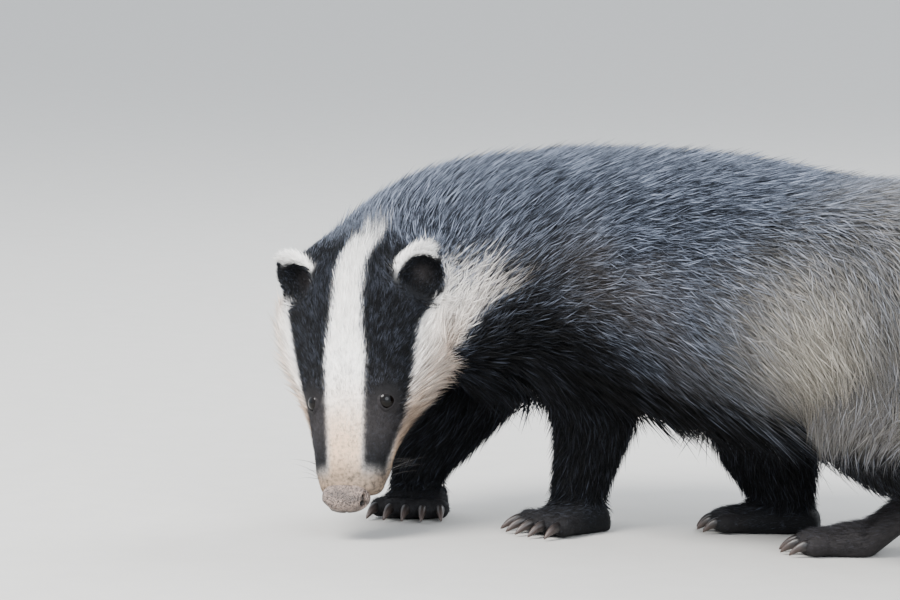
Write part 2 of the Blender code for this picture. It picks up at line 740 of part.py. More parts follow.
def add_ear(name, side, collection):
    """A rounded ear with an open cup."""
    opening = ear_axes(side)[2]
    outer, outer_middle = ear_bowl(side, EAR_CUP + EAR_THICKNESS, 0.0)
    inner, inner_middle = ear_bowl(side, EAR_CUP, -EAR_THICKNESS * 0.6)
    rim = [point + opening * EAR_THICKNESS * 0.35 for point in inner[0]]
    inner[0] = rim
    points = [point for ring in outer for point in ring] + [outer_middle]
    inner_start = len(points)
    points += [point for ring in inner for point in ring] + [inner_middle]
    faces = []
    for start in (0, inner_start):
        for ring in range(EAR_RINGS - 1):
            for segment in range(EAR_SEGMENTS):
                after = (segment + 1) % EAR_SEGMENTS
                row = start + ring * EAR_SEGMENTS
                faces.append(
                    (row + segment, row + after, row + EAR_SEGMENTS + after, row + EAR_SEGMENTS + segment)
                )
        row = start + (EAR_RINGS - 1) * EAR_SEGMENTS
        middle = row + EAR_SEGMENTS
        for segment in range(EAR_SEGMENTS):
            faces.append((row + segment, row + (segment + 1) % EAR_SEGMENTS, middle))
    for segment in range(EAR_SEGMENTS):
        after = (segment + 1) % EAR_SEGMENTS
        faces.append((segment, after, inner_start + after, inner_start + segment))
    return add_mesh(name, points, faces, collection)


def add_ear_socket(side, collection):
    """The closed bowl, a gap wider than the ear, that the head is cut back to."""
    opening = ear_axes(side)[2]
    rings, middle = ear_bowl(side, EAR_CUP + EAR_THICKNESS, GAP)
    points = [point + opening * GAP for ring in rings[:1] for point in ring]
    points = [point + opening * EAR_THICKNESS for point in points]
    points += [point for ring in rings for point in ring] + [middle]
    faces = [tuple(range(EAR_SEGMENTS))]
    for ring in range(EAR_RINGS):
        for segment in range(EAR_SEGMENTS):
            after = (segment + 1) % EAR_SEGMENTS
            row = ring * EAR_SEGMENTS
            below = row + EAR_SEGMENTS
            faces.append((row + segment, row + after, below + after, below + segment))
    row = EAR_RINGS * EAR_SEGMENTS
    for segment in range(EAR_SEGMENTS):
        faces.append((row + segment, row + (segment + 1) % EAR_SEGMENTS, len(points) - 1))
    add_mesh(f"ear_socket_{side}", points, faces, collection)


def add_plate(name, centre, normal, half_width, below, above, collection):
    """A thin standing plate, as thick as the gap between two nodes."""
    normal = unit(normal)
    side = unit(np.cross(UP, normal))
    up = np.cross(normal, side)
    points = []
    for through in (-GAP / 2, GAP / 2):
        for across, height in ((-1, -below), (1, -below), (1, above), (-1, above)):
            points.append(np.array(centre) + normal * through + side * half_width * across + up * height)
    add_mesh(name, points, BOX_FACES, collection)


def add_block(name, low, high, collection):
    points = []
    for z in (low[2], high[2]):
        for x, y in ((low[0], low[1]), (high[0], low[1]), (high[0], high[1]), (low[0], high[1])):
            points.append((x, y, z))
    add_mesh(name, points, BOX_FACES, collection)


def mouth_line(share, side, reach=1.0, rise=0.0):
    """A place on the line of the mouth, from the front of the lips to their corner."""
    back = MOUTH_START + (MOUTH_END - MOUTH_START) * share
    wide = MOUTH_HALF_WIDTH[0] + (MOUTH_HALF_WIDTH[1] - MOUTH_HALF_WIDTH[0]) * share
    drop = MOUTH_DROP[0] + (MOUTH_DROP[1] - MOUTH_DROP[0]) * share
    return on_head(back, side * wide * reach, rise - drop)


def add_lip(side, collection):
    """The swollen edge of the upper lip."""
    shares = np.linspace(0.0, 0.9, MOUTH_STEPS)
    path = [mouth_line(share, side, 0.93, LIP_RISE) for share in shares]
    radii = [LIP_RADIUS * (1.0 - 0.5 * share) for share in shares]
    add_tube(f"lip_{side}", path, radii, HEAD_LEFT, LIP_SIDES, collection)


def add_mouth_groove(side, collection):
    """A thin wedge that draws the line of the mouth along one side of the muzzle."""
    points = []
    for share in np.linspace(0.0, 1.0, MOUTH_STEPS):
        for reach, rise in ((0.80, 0.0), (1.45, -MOUTH_GROOVE), (1.45, MOUTH_GROOVE)):
            points.append(mouth_line(share, side, reach, rise))
    faces = [(0, 1, 2), (len(points) - 3, len(points) - 2, len(points) - 1)]
    for step in range(MOUTH_STEPS - 1):
        row = step * 3
        for corner in range(3):
            after = (corner + 1) % 3
            faces.append((row + corner, row + after, row + 3 + after, row + 3 + corner))
    add_mesh(f"mouth_{side}", points, faces, collection)


def boolean(target, operation, collection, solver):
    """Joins or cuts the target with every mesh of a collection, then removes those meshes."""
    modifier = target.modifiers.new(operation.lower(), "BOOLEAN")
    modifier.operation = operation
    modifier.operand_type = "COLLECTION"
    modifier.collection = collection
    modifier.solver = solver
    graph = bpy.context.evaluated_depsgraph_get()
    result = bpy.data.meshes.new_from_object(target.evaluated_get(graph))
    target.modifiers.clear()
    target.data = result
    for used in list(collection.objects):
        bpy.data.objects.remove(used)


def loose_parts(mesh):
    """The mesh's separate surfaces, each as its volume, its centre, its points and its faces."""
    editable = bmesh.new()
    editable.from_mesh(mesh)
    bmesh.ops.triangulate(editable, faces=editable.faces)
    editable.verts.ensure_lookup_table()
    seen = set()
    parts = []
    for first in editable.verts:
        if first.index in seen or not first.link_faces:
            continue
        seen.add(first.index)
        waiting = [first]
        group = []
        while waiting:
            vert = waiting.pop()
            group.append(vert)
            for edge in vert.link_edges:
                other = edge.other_vert(vert)
                if other.index not in seen:
                    seen.add(other.index)
                    waiting.append(other)
        number = {vert.index: place for place, vert in enumerate(group)}
        points = np.array([vert.co[:] for vert in group])
        members = {face for vert in group for face in vert.link_faces}
        faces = [tuple(number[vert.index] for vert in face.verts) for face in members]
        faces.sort()
        corners = points[np.array(faces)]
        volume = float(np.linalg.det(corners).sum() / 6)
        centre = (points.min(axis=0) + points.max(axis=0)) / 2
        parts.append((volume, centre, points, faces))
    editable.free()
    return parts


def finish_node(thing):
    """Gives a node its own material and smooth shading, and centres it with the rest."""
    name = thing.name
    material = bpy.data.materials.new(name)
    material.use_nodes = True
    shader = material.node_tree.nodes["Principled BSDF"]
    shader.inputs["Base Color"].default_value = COLOURS[name]
    shader.inputs["Roughness"].default_value = SHINY.get(name, COAT_ROUGHNESS)
    thing.data.materials.clear()
    thing.data.materials.append(material)
    for vertex in thing.data.vertices:
        vertex.co.x -= CENTRE_X
        vertex.co.y -= CENTRE_Y
    if name in SHINY:
        thing.data.polygons.foreach_set("use_smooth", [True] * len(thing.data.polygons))


def build_body(pieces, cutters, badger):
    """Fuses flesh and coat into one body, parts it with the cuts, and names what is left."""
    add_trunk(pieces)
    limbs = {
        "upper_foreleg_left": FORELEG_LEFT,
        "upper_foreleg_right": FORELEG_RIGHT,
        "upper_hindleg_left": HINDLEG_LEFT,
        "upper_hindleg_right": HINDLEG_RIGHT,
        "tail_core": TAIL,
    }
    for name, rows in limbs.items():
        add_limb(name, rows, pieces)
    for name in PAWS:
        add_paw(name, pieces)
    add_head(pieces)
    add_jaw(pieces)
    for side in (1, -1):
        add_lids(side, pieces)
        add_lip(side, pieces)
    add_coat(pieces)
    add_fringes(pieces)
    body = pieces.objects["trunk"]
    pieces.objects.unlink(body)
    badger.objects.link(body)
    boolean(body, "UNION", pieces, "MANIFOLD")
    for number, plate in enumerate(PLATES):
        add_plate(f"plate_{number}", *plate, cutters)
    for number, (x, y, z, half) in enumerate(LEVEL_PLATES):
        low = (x - half, y - half, z - GAP / 2)
        high = (x + half, y + half, z + GAP / 2)
        add_block(f"level_{number}", low, high, cutters)
    add_block("floor", (-FLOOR_SIDE, -FLOOR_SIDE, -FLOOR_DEPTH), (FLOOR_SIDE, FLOOR_SIDE, 0.0), cutters)
    for side in (1, -1):
        add_eye(f"eye_socket_{side}", side, GAP, cutters)
        add_ear_socket(side, cutters)
        add_mouth_groove(side, cutters)
    add_nose("nose_socket", GAP, cutters)
    boolean(body, "DIFFERENCE", cutters, "MANIFOLD")
    parts = loose_parts(body.data)
    bpy.data.objects.remove(body)
    best = {}
    for volume, centre, points, faces in parts:
        nearest = min(ANCHORS, key=lambda name: float(np.linalg.norm(centre - ANCHORS[name])))
        if volume > best.get(nearest, (0.0,))[0]:
            best[nearest] = (volume, points, faces)
    for name, (volume, points, faces) in best.items():
        finish_node(add_mesh(name, points, faces, badger))


def build_small_parts(cutters, badger):
    for name, side in (("eye_left", 1), ("eye_right", -1)):
        finish_node(add_eye(name, side, 0.0, badger))
    for name, side in (("ear_left", 1), ("ear_right", -1)):
        finish_node(add_ear(name, side, badger))
    nose = add_nose("nose", 0.0, badger)
    for side in (1, -1):
        add_nostril(side, cutters)
    boolean(nose, "DIFFERENCE", cutters, "MANIFOLD")
    finish_node(nose)


def main():
    clear_scene()
    badger = new_collection("badger")
    pieces = new_collection("pieces")
    cutters = new_collection("cutters")
    for helper in (pieces, cutters):
        helper.hide_render = True
    build_body(pieces, cutters, badger)
    build_small_parts(cutters, badger)


main()
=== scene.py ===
# %% [markdown]
# # A European badger, dressed over its solid model
#
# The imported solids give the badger's size, stance and main shapes. This lesson adds what a
# solid can't show: one continuous skin, a coat of tapered tufts that follow the lie of the
# hair, glossy eyes, a pebbled nose and horn claws.

# %% Load the solid model
import math

import bmesh
import bpy
import numpy as np
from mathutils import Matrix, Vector, kdtree


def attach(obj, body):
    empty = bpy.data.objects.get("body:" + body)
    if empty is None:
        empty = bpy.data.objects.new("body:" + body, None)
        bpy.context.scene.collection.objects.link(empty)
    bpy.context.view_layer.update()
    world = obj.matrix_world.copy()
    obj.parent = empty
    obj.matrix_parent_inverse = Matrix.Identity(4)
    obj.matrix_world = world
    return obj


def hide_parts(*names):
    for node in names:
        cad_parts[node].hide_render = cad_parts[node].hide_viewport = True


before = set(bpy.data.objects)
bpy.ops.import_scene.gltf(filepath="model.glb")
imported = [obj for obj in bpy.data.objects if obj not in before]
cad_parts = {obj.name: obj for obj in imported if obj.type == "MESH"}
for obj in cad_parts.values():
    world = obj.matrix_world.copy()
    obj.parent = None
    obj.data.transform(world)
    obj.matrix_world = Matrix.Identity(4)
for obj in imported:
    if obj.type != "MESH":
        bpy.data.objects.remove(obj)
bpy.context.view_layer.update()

# %% [markdown]
# ## Named sizes
#
# A badger's body is a low barrel slung between short legs, so rows of oval sections describe it
# well. The rows below are the ones that the solids were lofted from, in metres, before the
# finished animal was moved to stand over the origin. Keeping the same rows keeps skin and solids
# in one place.

# %% Sizes of the body
CENTRE = np.array((0.23355, 0.0388, 0.0))
LEFT_OF_BODY = np.array((0.0, -1.0, 0.0))
UP = np.array((0.0, 0.0, 1.0))

# Each row: centre x, y, z, half width, height above centre, depth below centre.
TRUNK = np.array((
    (-0.064, 0.024, 0.142, 0.054, 0.044, 0.048),
    (-0.047, 0.042, 0.156, 0.064, 0.054, 0.055),
    (-0.019, 0.054, 0.162, 0.076, 0.066, 0.062),
    (0.021, 0.060, 0.162, 0.088, 0.074, 0.066),
    (0.074, 0.060, 0.161, 0.094, 0.078, 0.069),
    (0.128, 0.057, 0.160, 0.100, 0.079, 0.077),
    (0.184, 0.050, 0.158, 0.104, 0.077, 0.079),
    (0.241, 0.040, 0.155, 0.106, 0.072, 0.079),
    (0.298, 0.029, 0.153, 0.106, 0.073, 0.077),
    (0.350, 0.019, 0.150, 0.100, 0.072, 0.072),
    (0.395, 0.010, 0.147, 0.086, 0.062, 0.062),
    (0.436, 0.002, 0.145, 0.058, 0.042, 0.044),
    (0.458, -0.002, 0.144, 0.024, 0.018, 0.020),
))
# No piece goes lower over the floor than this, so that none lies in the floor's own plane.
LEAST_LEVEL = {"skin": 0.0004, "hair": 0.0006, "whisker": 0.001}
print("trunk rows:", len(TRUNK))

# %% [markdown]
# A badger's legs are short and strong, and the animal is in mid stride, so no two of them are
# alike. Each is its own few rows, and each foot is placed by its heel and the way it points,
# because those two decide where it stands on the floor.

# %% Sizes of legs, tail and feet
# Each row: centre x, y, z, half width across the body, half width along it.
LIMBS = {
    "foreleg_left": (
        (0.068, 0.018, 0.135, 0.046, 0.042),
        (0.083, 0.030, 0.105, 0.036, 0.036),
        (0.087, 0.035, 0.086, 0.030, 0.032),
        (0.084, 0.035, 0.058, 0.022, 0.025),
        (0.079, 0.031, 0.032, 0.019, 0.021),
        (0.077, 0.029, 0.014, 0.018, 0.019),
    ),
    "foreleg_right": (
        (-0.009, 0.098, 0.130, 0.044, 0.042),
        (-0.010, 0.098, 0.100, 0.034, 0.036),
        (-0.018, 0.091, 0.080, 0.029, 0.031),
        (-0.032, 0.078, 0.054, 0.022, 0.025),
        (-0.045, 0.067, 0.032, 0.019, 0.021),
        (-0.047, 0.064, 0.014, 0.018, 0.019),
    ),
    "hindleg_left": (
        (0.344, -0.024, 0.120, 0.046, 0.056),
        (0.308, -0.036, 0.094, 0.042, 0.054),
        (0.310, -0.026, 0.072, 0.030, 0.040),
        (0.320, -0.010, 0.056, 0.021, 0.027),
        (0.318, -0.001, 0.042, 0.017, 0.020),
    ),
    "hindleg_right": (
        (0.300, 0.068, 0.120, 0.046, 0.058),
        (0.242, 0.072, 0.102, 0.042, 0.052),
        (0.202, 0.072, 0.082, 0.036, 0.046),
        (0.194, 0.071, 0.060, 0.029, 0.038),
        (0.200, 0.070, 0.038, 0.022, 0.029),
        (0.206, 0.070, 0.016, 0.018, 0.022),
    ),
    "tail": (
        (0.436, 0.002, 0.160, 0.026, 0.024),
        (0.470, -0.006, 0.154, 0.026, 0.024),
        (0.515, -0.011, 0.128, 0.022, 0.020),
        (0.552, -0.012, 0.094, 0.014, 0.013),
        (0.568, -0.012, 0.076, 0.005, 0.005),
    ),
}
# Each entry: heel x, heel y, heading in degrees, sole length, sole width, claw length, heel lift.
PAWS = {
    "forepaw_left": (0.091, 0.040, 232.0, 0.044, 0.045, 0.015, 0.0),
    "forepaw_right": (-0.046, 0.080, 276.0, 0.044, 0.045, 0.013, 0.0),
    "hindpaw_left": (0.322, 0.003, 189.0, 0.080, 0.042, 0.013, 0.034),
    "hindpaw_right": (0.228, 0.072, 189.0, 0.062, 0.042, 0.011, 0.0),
}
# A lifted heel bends up this share of the sole
LIFTED_SHARE = 0.52
print("limbs:", ", ".join(LIMBS), "feet:", len(PAWS))

# %% [markdown]
# The head is bowed and turned, so its sizes run along directions of its own: back from the tip
# of the muzzle, to its left, and out of the forehead. A badger's eyes are small and lie well
# forward, and its short ears stand wide apart, low on the sides of the head.

# %% Sizes of the head
MUZZLE = np.array((-0.0466, -0.0580, 0.0286))
HEAD_PITCH = math.radians(63.3)
HEAD_ROLL = math.radians(4.2)


def unit(vectors):
    """Vectors of length one, for a single vector or for rows of them."""
    vectors = np.asarray(vectors, float)
    return vectors / np.maximum(np.linalg.norm(vectors, axis=-1, keepdims=True), 1e-12)


HEAD_BACK = unit((-math.sin(HEAD_ROLL), math.cos(HEAD_PITCH), math.sin(HEAD_PITCH)))
HEAD_ROLLED = np.array((math.cos(HEAD_ROLL), 0.0, math.sin(HEAD_ROLL)))
HEAD_LEFT = unit(np.cross(HEAD_BACK, np.cross(HEAD_ROLLED, HEAD_BACK)))
HEAD_OUT = np.cross(HEAD_LEFT, HEAD_BACK)
HEAD_AXES = np.stack((HEAD_BACK, HEAD_LEFT, HEAD_OUT))

# Each row: distance back from the muzzle, half width, height to the forehead, depth to the throat.
HEAD = np.array((
    (0.0000, 0.0145, 0.0105, 0.0095),
    (0.0070, 0.0205, 0.0140, 0.0125),
    (0.0190, 0.0250, 0.0170, 0.0165),
    (0.0340, 0.0290, 0.0198, 0.0205),
    (0.0535, 0.0345, 0.0240, 0.0275),
    (0.0675, 0.0405, 0.0287, 0.0335),
    (0.0855, 0.0475, 0.0340, 0.0410),
    (0.1035, 0.0545, 0.0385, 0.0475),
    (0.1215, 0.0590, 0.0420, 0.0520),
    (0.1395, 0.0580, 0.0440, 0.0540),
    (0.1575, 0.0500, 0.0400, 0.0500),
    (0.1755, 0.0300, 0.0250, 0.0320),
))
# Each row: distance back from the muzzle, offset toward the throat, half width, half height.
JAW = np.array((
    (0.005, 0.0135, 0.0080, 0.0035),
    (0.015, 0.0170, 0.0130, 0.0060),
    (0.032, 0.0215, 0.0175, 0.0080),
    (0.051, 0.0280, 0.0220, 0.0100),
    (0.071, 0.0345, 0.0270, 0.0120),
))
# How far the eyes lie back from the muzzle, to each side and out toward the forehead
EYE_BACK, EYE_SIDE, EYE_OUT = 0.0580, 0.0255, 0.0165
EYE_RADIUS = 0.0068
# The skin meets the eyeball this far in front of its middle
LID_LEVEL = 0.0044
EYE_AIM = math.radians(38.0)
EAR_BACK, EAR_OUT = 0.1395, 0.024
# The face is turned a little, and the far ear stands nearer the middle
EAR_LEFT = {1: 0.0448, -1: -0.0375}
EAR_WIDTH = {1: 0.0195, -1: 0.0172}
EAR_HEIGHT = 0.0200
EAR_CUP, EAR_THICKNESS = 0.0110, 0.0050
# The floor of the cup is raised a little, and its mouth is narrower than the ear by this share
EAR_FLOOR, EAR_MOUTH = 0.0016, 0.86
EAR_RINGS = 14
EAR_PROUD = 0.0048
EAR_LEAN, EAR_TURN = math.radians(52.0), math.radians(38.0)
NOSE_PLACE = (-0.0026, -0.0016, 0.0031)
NOSE_HALF = (0.0098, 0.0160, 0.0098)


def on_head(back, left, out):
    """Places that lie this far back from the muzzle, to its left and out of the forehead."""
    parts = (np.asarray(v, float)[..., None] for v in (back, left, out))
    return MUZZLE + sum(part * axis for part, axis in zip(parts, HEAD_AXES))


print("the head runs", np.round(HEAD_BACK, 3), "from nose to nape")

# %% [markdown]
# ## One skin
#
# A real badger has one skin from nose to tail. Rings of points along each body part give closed
# shells, a voxel remesh melts the shells into one surface, and a few rounds of averaging round
# off the joins. Modelling it as one mesh by hand would take far longer, and a Boolean union
# would leave hard creases.

# %% Rows to rings


def along_rows(rows, at):
    """Rows on a smooth curve through the given ones, at places counted in rows."""
    rows = np.asarray(rows, float)
    at = np.clip(np.asarray(at, float), 0.0, len(rows) - 1.0)
    first = np.minimum(at.astype(int), len(rows) - 2)
    step = (at - first)[..., None]
    before, start = rows[np.maximum(first - 1, 0)], rows[first]
    end, after = rows[first + 1], rows[np.minimum(first + 2, len(rows) - 1)]
    bend = 2 * before - 5 * start + 4 * end - after
    turn = 3 * (start - end) + after - before
    return start + 0.5 * step * (end - before + step * (bend + step * turn))


def section_axes(rows, at):
    """Centres of sections with their directions: along the rows, to the left and up."""
    at = np.asarray(at, float)
    ahead, behind = (along_rows(rows, at + nudge)[..., :3] for nudge in (0.02, -0.02))
    along = unit(ahead - behind)
    left = unit(LEFT_OF_BODY - along * (along @ LEFT_OF_BODY)[..., None])
    return along_rows(rows, at)[..., :3], along, left, np.cross(left, along)


def rounded(value, squareness):
    """The sine or cosine of an oval's angle, pushed toward a square where this is over two."""
    return np.sign(value) * np.abs(value) ** (2.0 / squareness)


def ring_points(centre, left, up, half_width, above, below, angle, squareness):
    """Points of oval sections. The angle is zero at the top and grows toward the left."""
    across = half_width * rounded(np.sin(angle), squareness)
    height = rounded(np.cos(angle), squareness)
    height = height * np.where(height > 0, above, below)
    return centre + left * across[..., None] + up * height[..., None]


def mesh_grid(rows, rings, sides):
    """Places along the rows and angles round them, as two grids."""
    at = np.linspace(0, len(rows) - 1, rings)
    return np.meshgrid(at, np.linspace(-math.pi, math.pi, sides, endpoint=False), indexing="ij")


print("a trunk section at row 4:", np.round(along_rows(TRUNK, 4.0), 3))

# %% [markdown]
# On the trunk the hair runs back from the head and turns down over the sides, more on the flank
# than along the spine. Combing curves by hand would do, but a small table with values blended
# between its rows and columns is easier to read and to change.

# %% Which way the hair of the trunk runs
# How far the hair turns down from straight back, in degrees, and up where below zero: a line for
# each of these rows of the trunk, with a value for each of these angles from spine to belly.
LIE_ROWS = (0.0, 2.5, 4.0, 5.2, 6.5, 8.0, 10.0, 12.0)
LIE_ANGLES = (0.0, 45.0, 70.0, 90.0, 110.0, 140.0, 180.0)
LIE_TURN = np.array((
    (0, -36, -54, -64, -74, -66, -20),
    (0, -32, -48, -52, -68, -60, -10),
    (0, -28, -36, -28, -16, 5, 0),
    (0, -4, 0, 5, 12, 26, 0),
    (0, 6, 12, 18, 24, 32, 20),
    (0, 34, 54, 68, 76, 68, 0),
    (0, 40, 62, 76, 76, 60, 0),
    (0, 40, 60, 72, 72, 60, 0),
), float)


def from_table(rows, columns, values, at, across):
    """Values read from a table, blended evenly between its rows and its columns."""
    row = np.interp(at, rows, np.arange(len(rows)))
    column = np.interp(across, columns, np.arange(len(columns)))
    r, c = np.minimum(row.astype(int), len(rows) - 2), np.minimum(column.astype(int), len(columns) - 2)
    left = values[r, c] + (values[r + 1, c] - values[r, c]) * (row - r)
    right = values[r, c + 1] + (values[r + 1, c + 1] - values[r, c + 1]) * (row - r)
    return left + (right - left) * (column - c)


print("hair turns by", LIE_TURN.min(), "to", LIE_TURN.max(), "degrees")

# %% [markdown]
# Each closed shell of rings also keeps where its points lie on their part and which way their
# hair runs. The legs and the tail are made a little thinner than the solids, whose size takes in
# the hair. One more shell is the roll of skin that shows where the turned head meets the neck.

# %% Shells of the body
# The skin lies this far under the solids, where hair covers it
SKIN_DEPTH = {"foreleg": 0.0035, "hindleg": 0.0035, "tail": 0.009, "jaw": 0.001, "paw": 0.001}
# Two gives an oval section, and more a squarer one
SQUARENESS = {"trunk": 2.2, "limb": 2.0, "head": 2.3, "jaw": 2.2, "paw": 2.6}
LEAST_HALF = 0.002
forms = []


def add_form(part, grid, at, angle, lie):
    """Keeps one closed shell, with each point's place on its part and the way its hair lies."""
    lie = np.broadcast_to(lie, grid.shape)
    forms.append({"part": part, "grid": grid, "at": at, "angle": angle, "lie": unit(lie)})


def trunk_shell():
    """The barrel of neck and trunk. Its hair turns down the sides as the table says."""
    at, angle = mesh_grid(TRUNK, 180, 150)
    row = along_rows(TRUNK, at)
    centre, along, left, up = section_axes(TRUNK, at)
    depth = np.interp(at, (0.0, 1.5, 8.0, 12.0), (0.0010, -0.0010, 0.0, 0.003))
    half, above, below = (row[..., column] - depth for column in (3, 4, 5))
    grid = ring_points(centre, left, up, half, above, below, angle, SQUARENESS["trunk"])
    droop = np.radians(from_table(LIE_ROWS, LIE_ANGLES, LIE_TURN, at, np.degrees(np.abs(angle))))
    around = left * np.cos(angle)[..., None] - up * np.sin(angle)[..., None]
    lie = along * np.cos(droop)[..., None] + around * (np.sign(angle) * np.sin(droop))[..., None]
    add_form("trunk", grid, at, angle, lie)


def limb_shell(name):
    """A leg or the tail, under the hair by the depth that its kind of limb has."""
    rows = np.array(LIMBS[name])
    depth = SKIN_DEPTH[name.split("_")[0]]
    at, angle = mesh_grid(rows, 60, 60)
    row = along_rows(rows, at)
    centre, along, left, up = section_axes(rows, at)
    wide, deep = (np.maximum(row[..., column] - depth, LEAST_HALF) for column in (3, 4))
    grid = ring_points(centre, left, up, wide, deep, deep, angle, SQUARENESS["limb"])
    add_form(name, grid, at, angle, along)


FOLD_PLACE = np.array((-0.0040, 0.0030, 0.1150))
FOLD_WAY = np.array((0.58, 0.21, 0.79))
FOLD_REACH, FOLD_RADII = 0.027, (0.0050, 0.0095, 0.0145)
# Where on the neck the fold's coat and markings are taken from
FOLD_ROW, FOLD_ANGLE = 2.2, math.radians(115.0)


def fold_shell():
    """The roll of skin that fills the fold between the turned head and the neck."""
    steps = np.linspace(-1.0, 1.0, 20)
    radii = np.interp(steps, (-1.0, 0.0, 1.0), FOLD_RADII) * np.sqrt(1.02 - steps**2)
    angle = np.linspace(0, 2 * math.pi, 32, endpoint=False)
    around = unit(np.cross(FOLD_WAY, UP))
    over = np.cross(around, unit(FOLD_WAY))
    ring = around * np.sin(angle)[:, None] + over * np.cos(angle)[:, None]
    middle = FOLD_PLACE + FOLD_WAY * (FOLD_REACH * steps)[:, None]
    grid = middle[:, None] + ring * radii[:, None, None]
    same = np.ones(grid.shape[:2])
    add_form("trunk", grid, FOLD_ROW * same, FOLD_ANGLE * same, FOLD_WAY)


trunk_shell()
fold_shell()
for limb in LIMBS:
    limb_shell(limb)
print("shells:", len(forms), "points:", sum(form["at"].size for form in forms))

# %% [markdown]
# The head is one more row of ovals, laid along its own three directions: back, left and out of
# the forehead. A lower jaw and two cupped ears are shells of their own, because a single row of
# ovals can't turn that sharply.

# %% Shells of the head


def smooth_step(low, high, value):
    """Zero below the low value, one above the high one, with a soft rise between."""
    share = np.clip((np.asarray(value, float) - low) / (high - low), 0.0, 1.0)
    return share * share * (3.0 - 2.0 * share)


def head_shell():
    """The skull, deeper under its hair at the cheeks, where the hair is long."""
    at, angle = mesh_grid(HEAD, 150, 120)
    back, wide, above, below = np.moveaxis(along_rows(HEAD, at), -1, 0)
    turned = np.degrees(np.abs(angle))
    depth = np.interp(back, (0.0, 0.035, 0.075, 0.125, 0.175), (0.0004, 0.0012, 0.0026, 0.0030, 0.0020))
    depth = depth + 0.003 * smooth_step(60, 110, turned) * smooth_step(0.06, 0.11, back)
    half, above, below = wide - depth, above - depth, below - depth
    centre = on_head(back, 0 * back, 0 * back)
    grid = ring_points(centre, HEAD_LEFT, HEAD_OUT, half, above, below, angle, SQUARENESS["head"])
    side = np.sin(angle)[..., None]
    spread = smooth_step(0.02, 0.12, back)[..., None]
    under = smooth_step(58, 96, turned)[..., None] * smooth_step(0.022, 0.085, back)[..., None]
    lie = HEAD_BACK + HEAD_LEFT * side * (0.08 + 0.40 * spread)
    lie = lie - HEAD_OUT * (0.12 + 0.30 * under) * side**2
    add_form("head", grid, back, angle, lie)


def jaw_shell():
    """The lower jaw, which hangs below the muzzle's own oval."""
    at, angle = mesh_grid(JAW, 40, 50)
    back, under, wide, high = np.moveaxis(along_rows(JAW, at), -1, 0)
    centre = on_head(back, 0 * back, -under)
    half, high = wide - SKIN_DEPTH["jaw"], high - SKIN_DEPTH["jaw"]
    grid = ring_points(centre, HEAD_LEFT, HEAD_OUT, half, high, high, angle, SQUARENESS["jaw"])
    add_form("jaw", grid, back, angle, HEAD_BACK)


def ear_axes(side):
    """The ear's width, its height and the way its cup opens. Its lower edge sinks into the head."""
    tall = HEAD_BACK * math.sin(EAR_LEAN) + HEAD_LEFT * math.cos(EAR_LEAN) * side
    tall = unit(tall + HEAD_OUT * 0.30)
    opening = HEAD_OUT * math.cos(EAR_TURN) + HEAD_LEFT * math.sin(EAR_TURN) * side
    opening = unit(opening - tall * float(opening @ tall))
    return np.cross(tall, opening), tall, opening


def ear_place(side):
    """Where an ear stands on the head."""
    return on_head(EAR_BACK, EAR_LEFT[side], EAR_OUT)


def ear_shell(name, side):
    """A cup with a thick rim: the outside from its foot to the rim, then the inside to its floor."""
    across, tall, opening = ear_axes(side)
    centre = ear_place(side) + opening * EAR_PROUD
    turn = np.linspace(0, 2 * math.pi, 48, endpoint=False)
    rings = []
    for share in np.linspace(0.04, 1.0, EAR_RINGS):
        rings.append((share, -(EAR_CUP + EAR_THICKNESS) * (1.0 - share**2), 1.0))
    for share in np.linspace(0.97, 0.04, EAR_RINGS):
        rings.append((share, EAR_FLOOR - EAR_CUP * (1.0 - share**2), EAR_MOUTH))
    grid, outward = [], []
    for number, (share, height, shrink) in enumerate(rings):
        flat = across * (EAR_WIDTH[side] * np.cos(turn) * share * shrink)[:, None]
        flat = flat + tall * (EAR_HEIGHT * np.sin(turn) * share * shrink)[:, None]
        grid.append(centre + flat + opening * height)
        forward = 0.35 if number > EAR_RINGS - 3 else 0.0
        outward.append(unit(flat) + tall * 1.3 + opening * forward)
    at, angle = np.meshgrid(np.arange(len(rings), dtype=float), turn, indexing="ij")
    add_form(name, np.array(grid), at, angle, np.array(outward))


head_shell()
jaw_shell()
ear_shell("ear_left", 1)
ear_shell("ear_right", -1)
print("with the head:", len(forms), "shells")

# %% [markdown]
# A badger walks on broad soles with five toes in a row. Each toe here is a short tapering tube
# let into the front of the sole; the claws come later, because horn is a material of its own.

# %% Shells of the feet
TOES = 5
TOE_SPREAD = math.radians(34.0)
TOE_RADIUS, TOE_LENGTH = 0.0062, 0.017
# The middle of a toe starts at this height and drops by this much toward its tip
TOE_LEVEL, TOE_DROP = 0.0075, 0.0012
# Shares of the sole: how far forward the toes start, how far the row bends back, how wide it is
TOES_FORWARD, TOES_BENT, TOES_WIDE = 0.90, 0.40, 0.78
PAW_HEIGHT, PAW_SINK = 0.024, 0.003
# Shares of the sole's length from the heel on, with the shares of its width and height there
SOLE_PLACES = (0.0, 0.12, 0.35, 0.65, 0.90, 1.0)
SOLE_WIDE = (0.50, 0.74, 0.86, 0.98, 0.92, 0.66)
SOLE_HIGH = (0.55, 0.85, 1.00, 0.90, 0.68, 0.42)


def paw_axes(name):
    """The heel's place on the floor, the way the foot points, and the way across it."""
    heel_x, heel_y, heading, *_ = PAWS[name]
    heading = math.radians(heading)
    forward = np.array((math.cos(heading), math.sin(heading), 0.0))
    return np.array((heel_x, heel_y, 0.0)), forward, np.cross(UP, forward)


